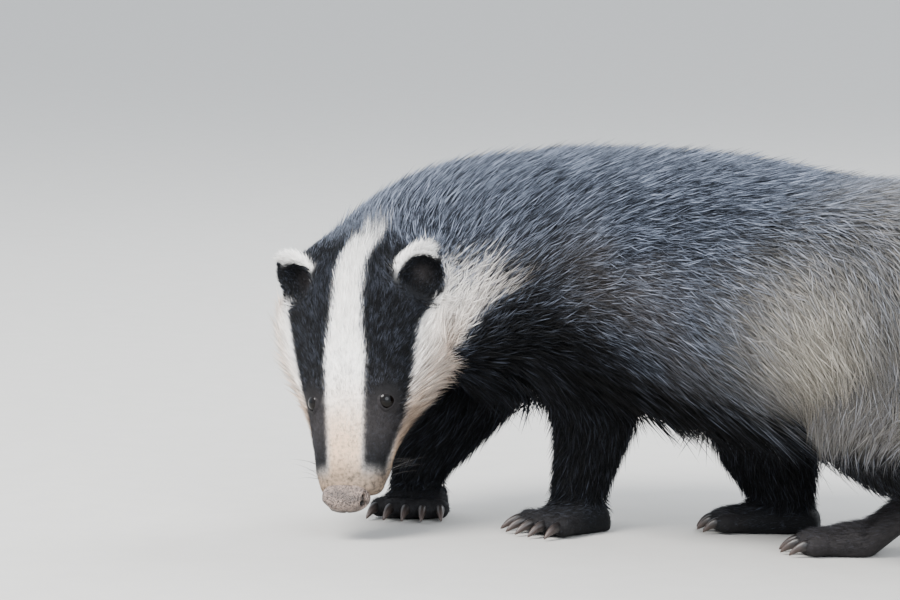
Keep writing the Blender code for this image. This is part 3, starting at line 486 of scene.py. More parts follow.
def toe_start(name, toe):
    """Where a toe leaves the sole, and the way it points."""
    heel, forward, side = paw_axes(name)
    length, width = PAWS[name][3:5]
    share = toe / (TOES - 1) - 0.5
    turn = TOE_SPREAD * share
    out = forward * math.cos(turn) + side * math.sin(turn)
    reach = length * (TOES_FORWARD - TOES_BENT * share * share)
    return heel + forward * reach + side * width * TOES_WIDE * share, out


def tube(path, radii, across, sides, flatness=1.0):
    """Rings of a tapering tube along a path."""
    path, radii = np.asarray(path, float), np.asarray(radii, float)
    along = unit(np.gradient(path, axis=0))
    left = unit(across - along * (along @ across)[:, None])
    up = np.cross(left, along)
    angle = np.linspace(0, 2 * math.pi, sides, endpoint=False)
    ring = left[:, None] * np.sin(angle)[:, None] + up[:, None] * (np.cos(angle) * flatness)[:, None]
    return path[:, None] + ring * radii[:, None, None]


def paw_shell(name):
    """A sole, lifted at the heel where the foot is about to leave the ground, and its toes."""
    heel, forward, side = paw_axes(name)
    length, width = PAWS[name][3:5]
    shares = np.linspace(0.0, 1.0, 24)
    raised = PAWS[name][6] * np.maximum(1.0 - shares / LIFTED_SHARE, 0.0)
    wide = np.interp(shares, SOLE_PLACES, SOLE_WIDE)
    high = np.interp(shares, SOLE_PLACES, SOLE_HIGH)
    tall = PAW_HEIGHT * high * 0.9 + PAW_SINK
    centre = heel + forward * (length * shares)[:, None] + UP * (tall / 2 - PAW_SINK + raised)[:, None]
    at, angle = np.meshgrid(shares, np.linspace(-math.pi, math.pi, 40, endpoint=False), indexing="ij")
    half, tall = (width / 2 * wide - SKIN_DEPTH["paw"])[:, None], tall[:, None] / 2
    grid = ring_points(centre[:, None], side, UP, half, tall, tall, angle, SQUARENESS["paw"])
    add_form(name, grid, at, angle, forward)
    for toe in range(TOES):
        start, out = toe_start(name, toe)
        steps = np.linspace(-0.6, 1.02, 12)
        level = (TOE_LEVEL - TOE_DROP * steps**2)[:, None]
        path = start + out * (TOE_LENGTH * steps)[:, None] + UP * level
        knuckle = 1.0 + 0.12 * np.exp(-((steps - 0.55) / 0.22) ** 2)
        knuckle -= 0.10 * np.exp(-((steps - 0.1) / 0.2) ** 2)
        radii = TOE_RADIUS * knuckle * np.sqrt(np.clip(1.03 - np.clip(steps, 0.0, 1.0) ** 6, 0.05, 1.0))
        rings = tube(path, radii, np.cross(UP, out), 24)
        at, angle = np.meshgrid(1.0 + steps, np.linspace(0, 2 * math.pi, 24, endpoint=False), indexing="ij")
        add_form(name, rings, at, angle, out)


for paw in PAWS:
    paw_shell(paw)
print("with the feet:", len(forms), "shells")

# %% [markdown]
# Now the shells overlap like pieces of clay. The voxel remesh presses them into one: it samples
# the space on a fine grid and draws one closed surface round whatever lies inside any shell.

# %% Melt the shells into one skin
VOXEL = 0.0019


def mesh_of(name, points, faces):
    """A mesh object made from arrays, standing where the solids stand."""
    mesh = bpy.data.meshes.new(name)
    places = (np.asarray(points, float) - CENTRE).tolist()
    mesh.from_pydata(places, [], [list(map(int, face)) for face in faces])
    mesh.shade_smooth()
    made = bpy.data.objects.new(name, mesh)
    bpy.context.scene.collection.objects.link(made)
    return made


def shell_faces(rings, sides, start=0):
    """Quads between rings that close round, and a cap at each end."""
    row, side = np.meshgrid(np.arange(rings - 1), np.arange(sides), indexing="ij")
    a = start + row * sides + side
    b = start + row * sides + (side + 1) % sides
    faces = np.stack((a, b, b + sides, a + sides), axis=-1).reshape(-1, 4).tolist()
    faces.append(list(range(start + sides - 1, start - 1, -1)))
    faces.append(list(range(start + (rings - 1) * sides, start + rings * sides)))
    return faces


def melt(forms):
    """One closed surface round all the shells."""
    points, faces, start = [], [], 0
    for form in forms:
        rings, sides = form["grid"].shape[:2]
        points.append(form["grid"].reshape(-1, 3))
        faces += shell_faces(rings, sides, start)
        start += rings * sides
    shells = mesh_of("shells", np.concatenate(points), faces)
    remesh = shells.modifiers.new("melt", "REMESH")
    remesh.mode = "VOXEL"
    remesh.voxel_size = VOXEL
    graph = bpy.context.evaluated_depsgraph_get()
    mesh = bpy.data.meshes.new_from_object(shells.evaluated_get(graph))
    bpy.data.objects.remove(shells)
    return mesh


skin_mesh = melt(forms)
skin_points = np.empty(len(skin_mesh.vertices) * 3)
skin_mesh.vertices.foreach_get("co", skin_points)
skin_points = skin_points.reshape(-1, 3) + CENTRE
skin_edges = np.empty(len(skin_mesh.edges) * 2, int)
skin_mesh.edges.foreach_get("vertices", skin_edges)
skin_edges = skin_edges.reshape(-1, 2)
print("skin:", len(skin_points), "points,", len(skin_mesh.polygons), "faces")

# %% [markdown]
# Each point of the skin is told which shell it came from, where on that shell it lies and which
# way the hair runs there. The nearest point of the shells knows all of that. Averaging the
# directions over the surface afterwards gives one unbroken flow from nose to tail.

# %% What each place of the skin belongs to
source_points = np.concatenate([form["grid"].reshape(-1, 3) for form in forms])
source_lie = np.concatenate([form["lie"].reshape(-1, 3) for form in forms])
source_at = np.concatenate([form["at"].ravel() for form in forms])
source_angle = np.concatenate([form["angle"].ravel() for form in forms])
part_names = sorted({form["part"] for form in forms})
source_part = np.concatenate(
    [np.full(form["at"].size, part_names.index(form["part"])) for form in forms]
)


def tree_of(points):
    """A search tree, which finds the nearest of these points fast."""
    tree = kdtree.KDTree(len(points))
    for number, point in enumerate(points.tolist()):
        tree.insert(point, number)
    tree.balance()
    return tree


def nearest(tree, points):
    """The number of the tree's point nearest to each of these."""
    find = tree.find
    return np.fromiter((find(point)[1] for point in points.tolist()), int, len(points))


near_source = nearest(tree_of(source_points), skin_points)
skin_part = source_part[near_source]
skin_at = source_at[near_source]
skin_angle = source_angle[near_source]


def is_part(*names):
    """Which points of the skin belong to these parts."""
    return np.isin(skin_part, [part_names.index(name) for name in names])


print("parts of the skin:", ", ".join(part_names))

# %% [markdown]
# Taking the mean of each point's neighbours, over and over, is the simplest way to smooth
# anything on a mesh: places, directions or colours. The face and feet get little of it, so that
# they keep their shape, and the bends between neck, trunk and legs get much.

# %% Smooth the skin
neighbour_count = np.bincount(skin_edges.ravel(), minlength=len(skin_points))


def averaged(values):
    """Each point's values replaced by the mean of its neighbours'."""
    values = np.asarray(values, float)
    flat = values.reshape(len(values), -1)
    out = np.empty_like(flat)
    for column in range(flat.shape[1]):
        total = np.bincount(skin_edges[:, 0], flat[skin_edges[:, 1], column], len(flat))
        total += np.bincount(skin_edges[:, 1], flat[skin_edges[:, 0], column], len(flat))
        out[:, column] = total / neighbour_count
    return out.reshape(values.shape)


def relaxed(values, rounds, weight=0.5):
    """Values drawn toward their neighbours' mean, in rounds, by this weight at each point."""
    weight = np.broadcast_to(weight, len(values)).reshape((-1,) + (1,) * (np.ndim(values) - 1))
    for _ in range(rounds):
        values = values * (1 - weight) + averaged(values) * weight
    return values


fine = is_part("head", "jaw", "ear_left", "ear_right", *PAWS)
skin_points = relaxed(skin_points, 14, relaxed(np.where(fine, 0.12, 0.55), 12))
headward = relaxed(is_part("head").astype(float), 80)
join = 4 * headward * (1 - headward) * ~is_part("ear_left", "ear_right", "jaw")
skin_points = relaxed(skin_points, 110, relaxed(0.6 * join, 8))
print("points that keep their shape:", int(fine.sum()), "of", len(fine))

# %% [markdown]
# The head's own shell runs through the cups of the ears and fills them. A Boolean cut would
# leave a rough edge, so the points inside each cup are pushed down to its floor instead.

# %% Open the ears


def carve_cup(name, side):
    """Opens the cup of an ear where the head's own shell had filled it."""
    across, tall, opening = ear_axes(side)
    away = skin_points - ear_place(side) - opening * EAR_PROUD
    wide, high, height = away @ across / EAR_WIDTH[side], away @ tall / EAR_HEIGHT, away @ opening
    reach = np.hypot(wide, high)
    floor = EAR_FLOOR - EAR_CUP * (1.0 - np.minimum(reach / EAR_MOUTH, 1.0) ** 2)
    over = (height > floor) * (height < 0.022)
    inside = smooth_step(0.92, 0.74, reach) * smooth_step(-0.85, -0.15, high) * over
    skin_points[:] -= opening * ((height - floor) * inside)[:, None]
    inner = inside > 0.4
    skin_part[inner] = part_names.index(name)
    # The rings of the cup run on from the rim, in the middle of the ear's rings, to its floor
    skin_at[inner] = 2 * EAR_RINGS - 1 - (EAR_RINGS - 1) * reach[inner]
    skin_angle[inner] = np.arctan2(high, wide)[inner]
    return int(inner.sum())


print("points moved to open the ears:", carve_cup("ear_left", 1), carve_cup("ear_right", -1))
print({name: int((skin_part == number).sum()) for number, name in enumerate(part_names)})

# %% [markdown]
# ## Forms of the face
#
# Under a badger's short face hair the skull shows: a rounded bridge, a shallow hollow in front
# of each eye, a low brow and a full cheek. Each is a soft push of the skin, measured from the
# muzzle, which is easier to adjust than sculpted points.

# %% Push the forms of the face
# Each entry: back, left, out, radius, push. Those off the middle act on both sides.
FACE_FORMS = (
    (0.036, 0.000, 0.019, 0.016, 0.0008),
    (0.046, 0.0235, 0.012, 0.010, -0.0012),
    (0.058, 0.0280, 0.0180, 0.009, 0.0008),
    (0.072, 0.0240, 0.027, 0.013, 0.0012),
    (0.098, 0.0500, 0.002, 0.024, 0.0016),
    (0.016, 0.0215, -0.002, 0.010, 0.0018),
    (0.005, 0.0170, -0.003, 0.009, 0.0030),
)
skin_normals = np.empty(len(skin_mesh.vertices) * 3)


def read_normals():
    """Sets the mesh to the points as they stand and reads the way each point faces."""
    skin_mesh.vertices.foreach_set("co", (skin_points - CENTRE).ravel())
    skin_mesh.update()
    skin_mesh.vertex_normals.foreach_get("vector", skin_normals)
    return skin_normals.reshape(-1, 3).copy()


normals = read_normals()
for back, left, out, radius, push in FACE_FORMS:
    for side in (1, -1) if left else (1,):
        distance = np.linalg.norm(skin_points - on_head(back, left * side, out), axis=1)
        skin_points += normals * (push * np.exp(-((distance / radius) ** 2) * 2.0))[:, None]
print("face forms:", len(FACE_FORMS))

# %% [markdown]
# The mouth is closed, so all that shows of it is a line along each side of the jaw. A shallow
# groove makes that line: the points near it are drawn in, and the hair later keeps clear of it.

# %% Draw the line of the mouth
MOUTH_BACK = (0.005, 0.050)
MOUTH_WIDE = (0.0170, 0.0315)
MOUTH_DROP = (0.0120, 0.0207)
MOUTH_DEPTH, MOUTH_HALF = 0.0014, 0.0017
# A gap to start from, in metres, that is wider than any on the head
FAR_AWAY = 1.0


def mouth_line(side, places=60):
    """Points on the line of the mouth, from the front of the lips to their corner."""
    share = np.linspace(0, 1, places)
    rows = (low + (high - low) * share for low, high in (MOUTH_BACK, MOUTH_WIDE, MOUTH_DROP))
    back, wide, drop = rows
    return on_head(back, wide * side, -drop)


near_head = np.flatnonzero(np.linalg.norm(skin_points - on_head(0.03, 0.0, 0.0), axis=1) < 0.06)
mouth_gap = np.full(len(skin_points), FAR_AWAY)
for side in (1, -1):
    line = mouth_line(side)
    gaps = np.linalg.norm(skin_points[near_head, None] - line[None], axis=2).min(axis=1)
    mouth_gap[near_head] = np.minimum(mouth_gap[near_head], gaps)
skin_points -= normals * (MOUTH_DEPTH * np.exp(-((mouth_gap / MOUTH_HALF) ** 2)))[:, None]
skin_points[:, 2] = np.maximum(skin_points[:, 2], LEAST_LEVEL["skin"])
normals = read_normals()
print("lowest point:", round(float(skin_points[:, 2].min()), 4))

# %% [markdown]
# Hair doesn't run straight back everywhere. It fans out round the eyes and ears, and on the inner
# side of the bend between head and neck it runs up and back over the fold. Both are blended into
# the flow that the shells gave.

# %% How the hair lies
# Hair turns outward within about this distance of an eye or an ear, with this pull
EYE_FAN, EYE_PULL = 0.0105, 1.6
EAR_FAN, EAR_PULL = 0.027, 1.3
# Round a place this far along the fold, hair takes the fold's own way
FOLD_AHEAD, FOLD_FAN = 0.006, 0.050


def eye_place(side):
    """The middle of an eye, before its ball is sunk to fit the lids."""
    return on_head(EYE_BACK, EYE_SIDE * side, EYE_OUT)


lie = relaxed(source_lie[near_source], 30)
eye_gap = np.full(len(skin_points), FAR_AWAY)
for side in (1, -1):
    away = skin_points - eye_place(side)
    gap = np.linalg.norm(away, axis=1)
    lie += unit(away) * (EYE_PULL * np.exp(-((gap / EYE_FAN) ** 4)))[:, None]
    eye_gap = np.minimum(eye_gap, gap)
fold_gap = np.linalg.norm(skin_points - FOLD_PLACE - FOLD_WAY * FOLD_AHEAD, axis=1)
weight = np.exp(-((fold_gap / FOLD_FAN) ** 4)) * ~is_part("foreleg_left", "foreleg_right")
lie = lie * (1 - weight)[:, None] + FOLD_WAY * weight[:, None]
lie = relaxed(lie, 20)
ears = is_part("ear_left", "ear_right")
ear_gap = np.full(len(skin_points), FAR_AWAY)
for side in (1, -1):
    away = skin_points - ear_place(side)
    gap = np.linalg.norm(away, axis=1)
    weight = np.where(ears, 0.0, EAR_PULL * np.exp(-((gap / EAR_FAN) ** 4)))
    lie += unit(away) * weight[:, None]
    ear_gap = np.minimum(ear_gap, gap)
lie = unit(lie - normals * (lie * normals).sum(axis=1)[:, None])
head_place = (skin_points - MUZZLE) @ HEAD_AXES.T
print("points near an eye or an ear:", int((np.minimum(eye_gap, ear_gap) < EAR_FAN).sum()))

# %% [markdown]
# ## Markings
#
# The white face with two black stripes warns other animals off. Skin and hair must carry the
# same markings, or bare gaps would show the wrong colour, so the markings are worked out once,
# as shares from zero to one at each place of the skin, and every tuft reads them where it lies.

# %% Where the markings run
# Back from the muzzle: the middle and half width of the white stripe
STRIPE_BACK = (0.000, 0.0255, 0.0555, 0.0855, 0.1055, 0.1315, 0.1445, 0.1595, 0.1805)
STRIPE_MIDDLE = (0.0004, -0.0001, -0.0015, -0.0006, -0.0004, 0.0013, 0.0024, 0.0078, 0.0150)
STRIPE_HALF = (0.0112, 0.0113, 0.0126, 0.0134, 0.0103, 0.0090, 0.0090, 0.0098, 0.0090)
STRIPE_END = 0.195
# Back from the muzzle: the angles from the forehead where the white cheek of each side begins
# and where both end
CHEEK_BACK = (0.0155, 0.0303, 0.0521, 0.0700, 0.0891, 0.1053, 0.1179, 0.1240, 0.1355, 0.1555, 0.1755)
CHEEK_TOP = {
    1: (84.0, 87.0, 87.0, 75.0, 67.5, 64.0, 68.0, 94.0, 102.0, 102.0, 98.0),
    -1: (82.0, 88.0, 79.0, 68.5, 63.5, 60.0, 60.0, 65.0, 76.0, 88.0, 90.0),
}
CHEEK_FOOT = (126.0, 130.0, 132.0, 132.0, 130.0, 128.0, 128.0, 128.0, 128.0, 128.0, 128.0)
# Beyond this angle from the forehead lies the throat side of the jaw
CHIN_ANGLE = 124.0
# Along the rows of the trunk: the angle from the spine where the black of the belly begins
UNDER_ROW = (0.0, 2.6, 3.3, 4.0, 4.6, 5.2, 5.7, 6.5, 8.0, 12.0)
UNDER_ANGLE = (132.0, 130.0, 103.0, 95.0, 106.0, 125.0, 142.0, 156.0, 166.0, 170.0)
# Along the rows of the neck: the angles from the spine where its white begins and ends
RUFF_ROW = (1.0, 2.0, 2.6, 2.9, 3.3, 3.9, 4.3)
RUFF_FOOT = (136.0, 134.0, 125.0, 110.0, 97.0, 87.0, 78.0)
RUFF_TOP = (84.0, 82.0, 79.0, 78.0, 78.0, 80.0, 84.0)
print("the stripe is", round(max(STRIPE_HALF) * 2000, 1), "mm wide at its widest")

# %% [markdown]
# Seen along the head, each marking of the face lies between two angles from the forehead. A soft
# step at each edge, only a few millimetres wide, keeps the stripes as crisp as short hair makes
# them. Whatever isn't white is black, except under the chin.

# %% Markings of the face


def face_markings(back, left, out):
    """Shares of white and of black on the head, and of the white stripe alone."""
    angle = np.degrees(np.arctan2(np.abs(left), out))
    middle = np.interp(back, STRIPE_BACK, STRIPE_MIDDLE)
    half = np.interp(back, STRIPE_BACK, STRIPE_HALF)
    fuzzy = 0.0012 + 0.0024 * smooth_step(0.06, 0.13, back)
    stripe = smooth_step(fuzzy, -fuzzy, np.abs(left - middle) - half) * smooth_step(80, 60, angle)
    stripe *= smooth_step(0.192, 0.145, back)
    left_top, right_top = (np.interp(back, CHEEK_BACK, CHEEK_TOP[side]) for side in (1, -1))
    top = np.where(left > 0, left_top, right_top)
    foot = np.interp(back, CHEEK_BACK, CHEEK_FOOT)
    cheek = smooth_step(-2.5, 2.5, angle - top) * smooth_step(4.0, -4.0, angle - foot)
    tip = smooth_step(0.0175, 0.0055, back) * (angle < CHIN_ANGLE)
    cheek = np.maximum(cheek * smooth_step(0.006, 0.014, back), tip)
    white = np.maximum(stripe, cheek)
    black = (1 - white) * np.where(angle < CHIN_ANGLE, 1.0, smooth_step(0.005, 0.014, back))
    return white, black, stripe


back, left, out = head_place.T
on_face = is_part("head", "jaw")
face_white, face_black, stripe = face_markings(back, left, out)
print("white share of the face:", round(float(face_white[on_face].mean()), 2))

# %% [markdown]
# The white of the cheek runs out into a ruff along the neck, and the black of legs and belly
# rises toward the sides. The rest is grey, with a beige patch behind the shoulder and paler
# flanks and rump. All of these follow the rows of the trunk and the angle from its spine.

# %% Markings of neck and trunk


def soft_patch(at, angle, row, degrees, rows_wide, degrees_wide):
    """One at this row and angle of the trunk, and less round it."""
    return np.exp(-(((at - row) / rows_wide) ** 2) - ((angle - degrees) / degrees_wide) ** 2)


def trunk_markings(at, angle):
    """Shares of white, black, warm and pale on neck and trunk."""
    # The neck is stretched on the outer side of its bend, so its markings reach fewer rows there
    outer = angle < 0
    angle = np.degrees(np.abs(angle))
    reach = np.where(outer, at * 1.25, at)
    foot, top = np.interp(reach, RUFF_ROW, RUFF_FOOT), np.interp(reach, RUFF_ROW, RUFF_TOP)
    ruff = smooth_step(6, -6, angle - foot) * smooth_step(-14, 10, angle - top)
    ruff *= smooth_step(4.6, 3.2, reach)
    ruff *= np.interp(angle - top, (0.0, 30.0), (0.55, 0.95))
    under = np.interp(at, UNDER_ROW, UNDER_ANGLE)
    black = smooth_step(-30, 16, angle - under) * smooth_step(0.75, 0.25, ruff)
    warm = soft_patch(at, angle, 4.9, 88, 1.2, 26) * 0.7 * (1 - black)
    warm += 0.6 * soft_patch(at, angle, 5.9, 124, 0.9, 26) * (1 - black)
    pale = soft_patch(at, angle, 7.8, 112, 0.85, 44)
    pale = np.maximum(pale, smooth_step(6.4, 10.4, at) * 0.60) * (1 - black)
    return ruff, black, warm, pale


on_trunk = is_part("trunk")
ruff, belly, beige, pale = trunk_markings(skin_at, skin_angle)
angle_degrees = np.degrees(np.abs(skin_angle))
print("black share of the trunk:", round(float(belly[on_trunk].mean()), 2))

# %% [markdown]
# Each black ear has a white rim, but only along the upper and outer part of its outline. The rim
# is found by the ring of the ear's shell that a place came from, and the arc by its angle.

# %% Markings of ears, legs and tail
WHITE_ARC_MIDDLE, WHITE_ARC_ENDS = 158, (84, 60)
RIM_RING = EAR_RINGS - 1.5
legs = is_part("foreleg_left", "foreleg_right", "hindleg_left", "hindleg_right", *PAWS)
ear_side = np.where(is_part("ear_left"), 1.0, -1.0)
ear_turn = np.degrees(np.arctan2(np.sin(skin_angle), np.cos(skin_angle) * ear_side))
ear_arc = smooth_step(*WHITE_ARC_ENDS, np.abs((ear_turn - WHITE_ARC_MIDDLE + 180) % 360 - 180))
ear_rim = smooth_step(5.0, 2.5, np.abs(skin_at - RIM_RING))
ear_up = smooth_step(215, 110, ear_turn % 360)
ear_hollow = smooth_step(EAR_RINGS + 6, 2 * EAR_RINGS - 2, skin_at)
trunk_white = np.maximum(ruff, stripe * (back < STRIPE_END))
coat = {
    "white": np.select((on_face, on_trunk, ears), (face_white, trunk_white, ear_rim * ear_arc), 0.0),
    "black": np.select((on_face, on_trunk, ears | legs), (face_black, belly, 1.0), 0.0),
    "warm": np.where(on_trunk, beige, 0.0),
    "pale": np.where(on_trunk, pale, np.where(is_part("tail"), 1.0, 0.0)),
}
coat["black"] *= 1 - smooth_step(0.150, 0.185, back) * on_face * (coat["white"] < 0.5)
thigh = is_part("hindleg_left", "hindleg_right") * smooth_step(0.052, 0.086, skin_points[:, 2])
coat["black"] *= 1 - thigh
coat["pale"] += 0.45 * thigh
print("points on the white rims:", int((ears & (coat["white"] > 0.5)).sum()))

# %% [markdown]
# White hair is stained where it touches the ground and the mouth, and black hair is rusty where
# it is worn thin. A mark for warmth carries that. A second mark darkens whatever colour the hair
# has: it carries painted shade, and in a few places a darker tone.

# %% Where the hair is warm
WORN_BACK, WORN_WIDE = 0.044, 0.018
cheek_angle = np.degrees(np.arctan2(np.abs(left), out))
coat["warm"] += on_face * smooth_step(0.080, 0.022, back) * coat["white"]
coat["black"] *= 1 - on_face * (0.12 * smooth_step(0.105, 0.135, back))
coat["warm"] += coat["white"] * (on_face | on_trunk) * 0.62 * smooth_step(60, 92, cheek_angle)
coat["warm"] += on_face * 0.34 * np.exp(-(((back - WORN_BACK) / WORN_WIDE) ** 2)) * coat["black"]
coat["warm"] += ears * ear_hollow * 0.35
coat["warm"] += is_part(*PAWS) * 0.10 * smooth_step(0.55, 1.1, skin_at)
coat["warm"] = np.where(is_part("hindpaw_left"), 0.26, coat["warm"])
print("mean warmth:", round(float(coat["warm"].mean()), 3))

# %% [markdown]
# Hair is darker than its own colour toward the nose, on the white of the neck and on the pale
# thigh. Painted shade darkens it on the side of the muzzle, on the lower side of the head, low on
# the flank above the black of the belly, and where the pale coat turns under. By the lips on the
# near side, the painted shade is less white and more black. The lips show as a dark line. A last
# light smoothing takes the hard corners off every mark.

# %% Where the hair is darker, and where shade is painted
LIPS_HALF = 0.0022
# Painted shade on the side of the muzzle, from the angle of its own edge down, more on the left
# than on the right
shaded_muzzle_side = smooth_step(52, 80, cheek_angle) * smooth_step(0.028, 0.014, back)
shaded_muzzle_side *= np.where(left > 0, 1.0, 0.35)
# Darker toward the nose tip all round, and painted shade on the side of the muzzle
coat["painted_shade_and_tone"] = on_face * (1.15 * smooth_step(0.027, 0.003, back) + 0.75 * shaded_muzzle_side)
# Painted shade on the lower side of the head, stronger toward the muzzle
shade_under_cheek = 0.08 + 0.34 * smooth_step(0.078, 0.050, back)
coat["painted_shade_and_tone"] += on_face * smooth_step(76, 96, cheek_angle) * shade_under_cheek
coat["painted_shade_and_tone"] += on_trunk * coat["white"] * 0.30
# Painted shade low on the flank, above where the black of the belly begins
edge = angle_degrees - np.interp(skin_at, UNDER_ROW, UNDER_ANGLE)
shaded = on_trunk * 0.90 * smooth_step(-66, -6, edge)
coat["painted_shade_and_tone"] += shaded * smooth_step(3.0, 4.2, skin_at) * smooth_step(8.2, 6.2, skin_at)
# Painted shade where the pale flank and rump turn under
coat["painted_shade_and_tone"] += on_trunk * 0.26 * coat["pale"] * smooth_step(112, 145, angle_degrees)
coat["painted_shade_and_tone"] += 0.33 * thigh
lips = np.exp(-((mouth_gap / LIPS_HALF) ** 2))
# Painted shade low on the near side of the muzzle, by the lips, given as less white and more black
shaded_lip_side = smooth_step(60, 84, cheek_angle) * smooth_step(0.020, 0.010, back) * on_face * (left > 0)
coat["white"] *= (1 - lips) * (1 - 0.40 * shaded_lip_side)
coat["black"] += 0.45 * shaded_lip_side
coat["black"] = np.maximum(coat["black"], lips)
coat = {name: relaxed(np.clip(values, 0, 1), 2) for name, values in coat.items()}
print({name: round(float(values.mean()), 3) for name, values in coat.items()})

# %% [markdown]
# ## Length and lift of the hair
#
# Hair is a few millimetres long on the muzzle and feet and grows to several centimetres over the
# rump. It is kept short round the eyes and ears, or they would drown in it.

# %% How long the hair is
# Along the rows of the trunk, back from the muzzle, and up from the floor on the legs
TRUNK_LENGTH = ((0, 1, 2, 4, 6, 8, 10, 12), (0.021, 0.023, 0.026, 0.025, 0.026, 0.035, 0.046, 0.048))
HEAD_LENGTH = ((0.0, 0.02, 0.05, 0.09, 0.13, 0.17), (0.0030, 0.0038, 0.0058, 0.0090, 0.0130, 0.0210))
LEG_LENGTH = ((0.0, 0.012, 0.024, 0.05, 0.09, 0.14), (0.0045, 0.0080, 0.0130, 0.018, 0.027, 0.034))
TAIL_LENGTH = 0.046
# The row of the trunk where the neck's coat ends
NECK_END = 2.6
# Hair is shorter within about this distance of an eye or an ear
EYE_SHORT, EAR_SHORT = 0.013, 0.026
trunk_length = np.interp(skin_at, *TRUNK_LENGTH)
flank_longer = 0.30 * smooth_step(70, 110, angle_degrees) * smooth_step(4.5, 8.0, skin_at)
trunk_length = trunk_length * (1 + flank_longer)
trunk_length = trunk_length * (1 + 0.45 * smooth_step(125, 155, angle_degrees))
head_length = np.interp(back, *HEAD_LENGTH)
long_cheek = smooth_step(0.018, 0.092, back) * smooth_step(62, 84, cheek_angle)
head_length = head_length + 0.019 * long_cheek * np.where(left < 0, smooth_step(0.150, 0.110, back), 1.0)
head_length = head_length * (1 - 0.32 * (left < 0) * smooth_step(0.125, 0.150, back))
head_length = head_length * (1 - 0.55 * np.exp(-((eye_gap / EYE_SHORT) ** 2)))
by_ear = 1 - 0.66 * np.exp(-((ear_gap / EAR_SHORT) ** 4))
trunk_length = trunk_length * np.where((skin_angle < 0) & (skin_at < NECK_END), 0.64, 1.0)
head_length, trunk_length = head_length * by_ear, trunk_length * by_ear
leg_length = np.interp(skin_points[:, 2], *LEG_LENGTH)
ear_length = 0.0040 + (0.0020 + 0.0088 * ear_up) * ear_rim * ear_arc - 0.0014 * ear_hollow
growth = {
    "length": np.select(
        (on_face, on_trunk, ears, is_part("tail"), legs),
        (head_length, trunk_length, ear_length, TAIL_LENGTH, leg_length),
    ),
}
longest, shortest = float(growth["length"].max()), float(growth["length"].min())
print("hair from", round(shortest * 1000, 1), "to", round(longest * 1000, 1), "mm")

# %% [markdown]
# Three more values shape a tuft: how steeply it lifts off the skin, how closely it clings to the
# form under it, and how much it sags at its tip. Short hair clings, and the long hair of belly
# and rump hangs free.

# %% How the hair stands
head_lift = (
    0.18 + 0.34 * smooth_step(66, 86, cheek_angle) * smooth_step(0.022, 0.062, back)
    + 0.14 * smooth_step(0.13, 0.17, back)
)
trunk_lift = np.interp(angle_degrees, (0, 50, 90, 130, 155, 180), (0.34, 0.28, 0.22, 0.28, 0.60, 0.70))
trunk_lift = trunk_lift * np.interp(skin_at, (0.0, 3.0, 6.0, 7.0), (0.75, 1.0, 1.0, 0.78))
trunk_lift = trunk_lift * np.where((skin_angle < 0) & (skin_at < 3.0), 0.32, 1.0)
head_cling = 0.9 - 0.7 * smooth_step(60, 80, cheek_angle) * smooth_step(0.045, 0.085, back)
trunk_cling = np.interp(skin_at, (0, 6, 9, 12), (0.65, 0.65, 0.35, 0.3))
ear_lift, tail_lift, leg_lift, close_cling, low_cling = 0.42, 0.30, 0.24, 0.9, 0.45
growth["lift"] = np.select(
    (on_face, on_trunk, ears, is_part("tail")), (head_lift, trunk_lift, ear_lift, tail_lift), leg_lift
)
growth["cling"] = np.select((on_trunk, on_face), (trunk_cling, head_cling), close_cling)
growth["sag"] = np.where(on_trunk, np.interp(skin_at, (0, 5, 8, 12), (0.0, 0.05, 0.30, 0.30)), 0.0)
hanging = on_trunk & (angle_degrees > 95)
growth["cling"] = np.where(hanging, np.minimum(growth["cling"], low_cling), growth["cling"])
growth["sag"] += on_trunk * 0.60 * smooth_step(120, 150, angle_degrees)
# In the fold between cheek and neck, within about this distance, the hair lies flat and close
FOLD_FLAT = 0.036
in_fold = np.exp(-((fold_gap / FOLD_FLAT) ** 4)) * (on_face | on_trunk)
growth["lift"] = growth["lift"] * (1 - 0.60 * in_fold)
growth["cling"] = growth["cling"] + (0.85 - growth["cling"]) * in_fold
growth = {name: relaxed(values, 8 if name == "length" else 20) for name, values in growth.items()}
print({name: round(float(values.mean()), 3) for name, values in growth.items()})

# %% [markdown]
# ## Tufts
#
# Rendered hair curves would be lost when the model is exported, so each tuft is a small closed
# blade: three corners at its foot and along it, and one point at its tip. The roots are spread
# over the skin first, at random but evenly, and thinner where hair should keep clear.

# %% Scatter the roots
quads = np.empty(len(skin_mesh.loops), int)
skin_mesh.loops.foreach_get("vertex_index", quads)
quads = quads.reshape(-1, 4)
triangles = np.concatenate((quads[:, (0, 1, 2)], quads[:, (0, 2, 3)]), axis=1).reshape(-1, 3)
corners = skin_points[triangles]
spans = corners[:, 1] - corners[:, 0], corners[:, 2] - corners[:, 0]
areas = np.linalg.norm(np.cross(*spans), axis=1) / 2
skin_tree = tree_of(skin_points)


def scatter(count, density, random):
    """Roots spread in proportion to the density at the skin's points, and the area they share."""
    weight = areas * density[triangles].mean(axis=1)
    total = np.cumsum(weight)
    place = (np.arange(count) + random.random(count)) / count * total[-1]
    face = np.searchsorted(total, place)
    a, b = random.random((2, count))
    over = a + b > 1
    a, b = np.where(over, 1 - a, a), np.where(over, 1 - b, b)
    return (triangles[face], np.stack((1 - a - b, a, b), axis=1)), total[-1]


def at_roots(roots, values):
    """The values of the skin's points, blended at each root."""
    face, share = roots
    return np.einsum("nk,nk...->n...", share, values[face])


print("skin area:", round(float(areas.sum()), 3), "square metres")

# %% [markdown]
# A tuft walks over the skin in short steps. At each step it turns a little toward the lie of the
# coat there and rises a little, so it overlaps the next ones as real fur does. Long hair also
# gathers in clumps, so the tips are drawn toward those of a few leaders.

# %% Comb the tufts over the skin
SINK = 0.0012
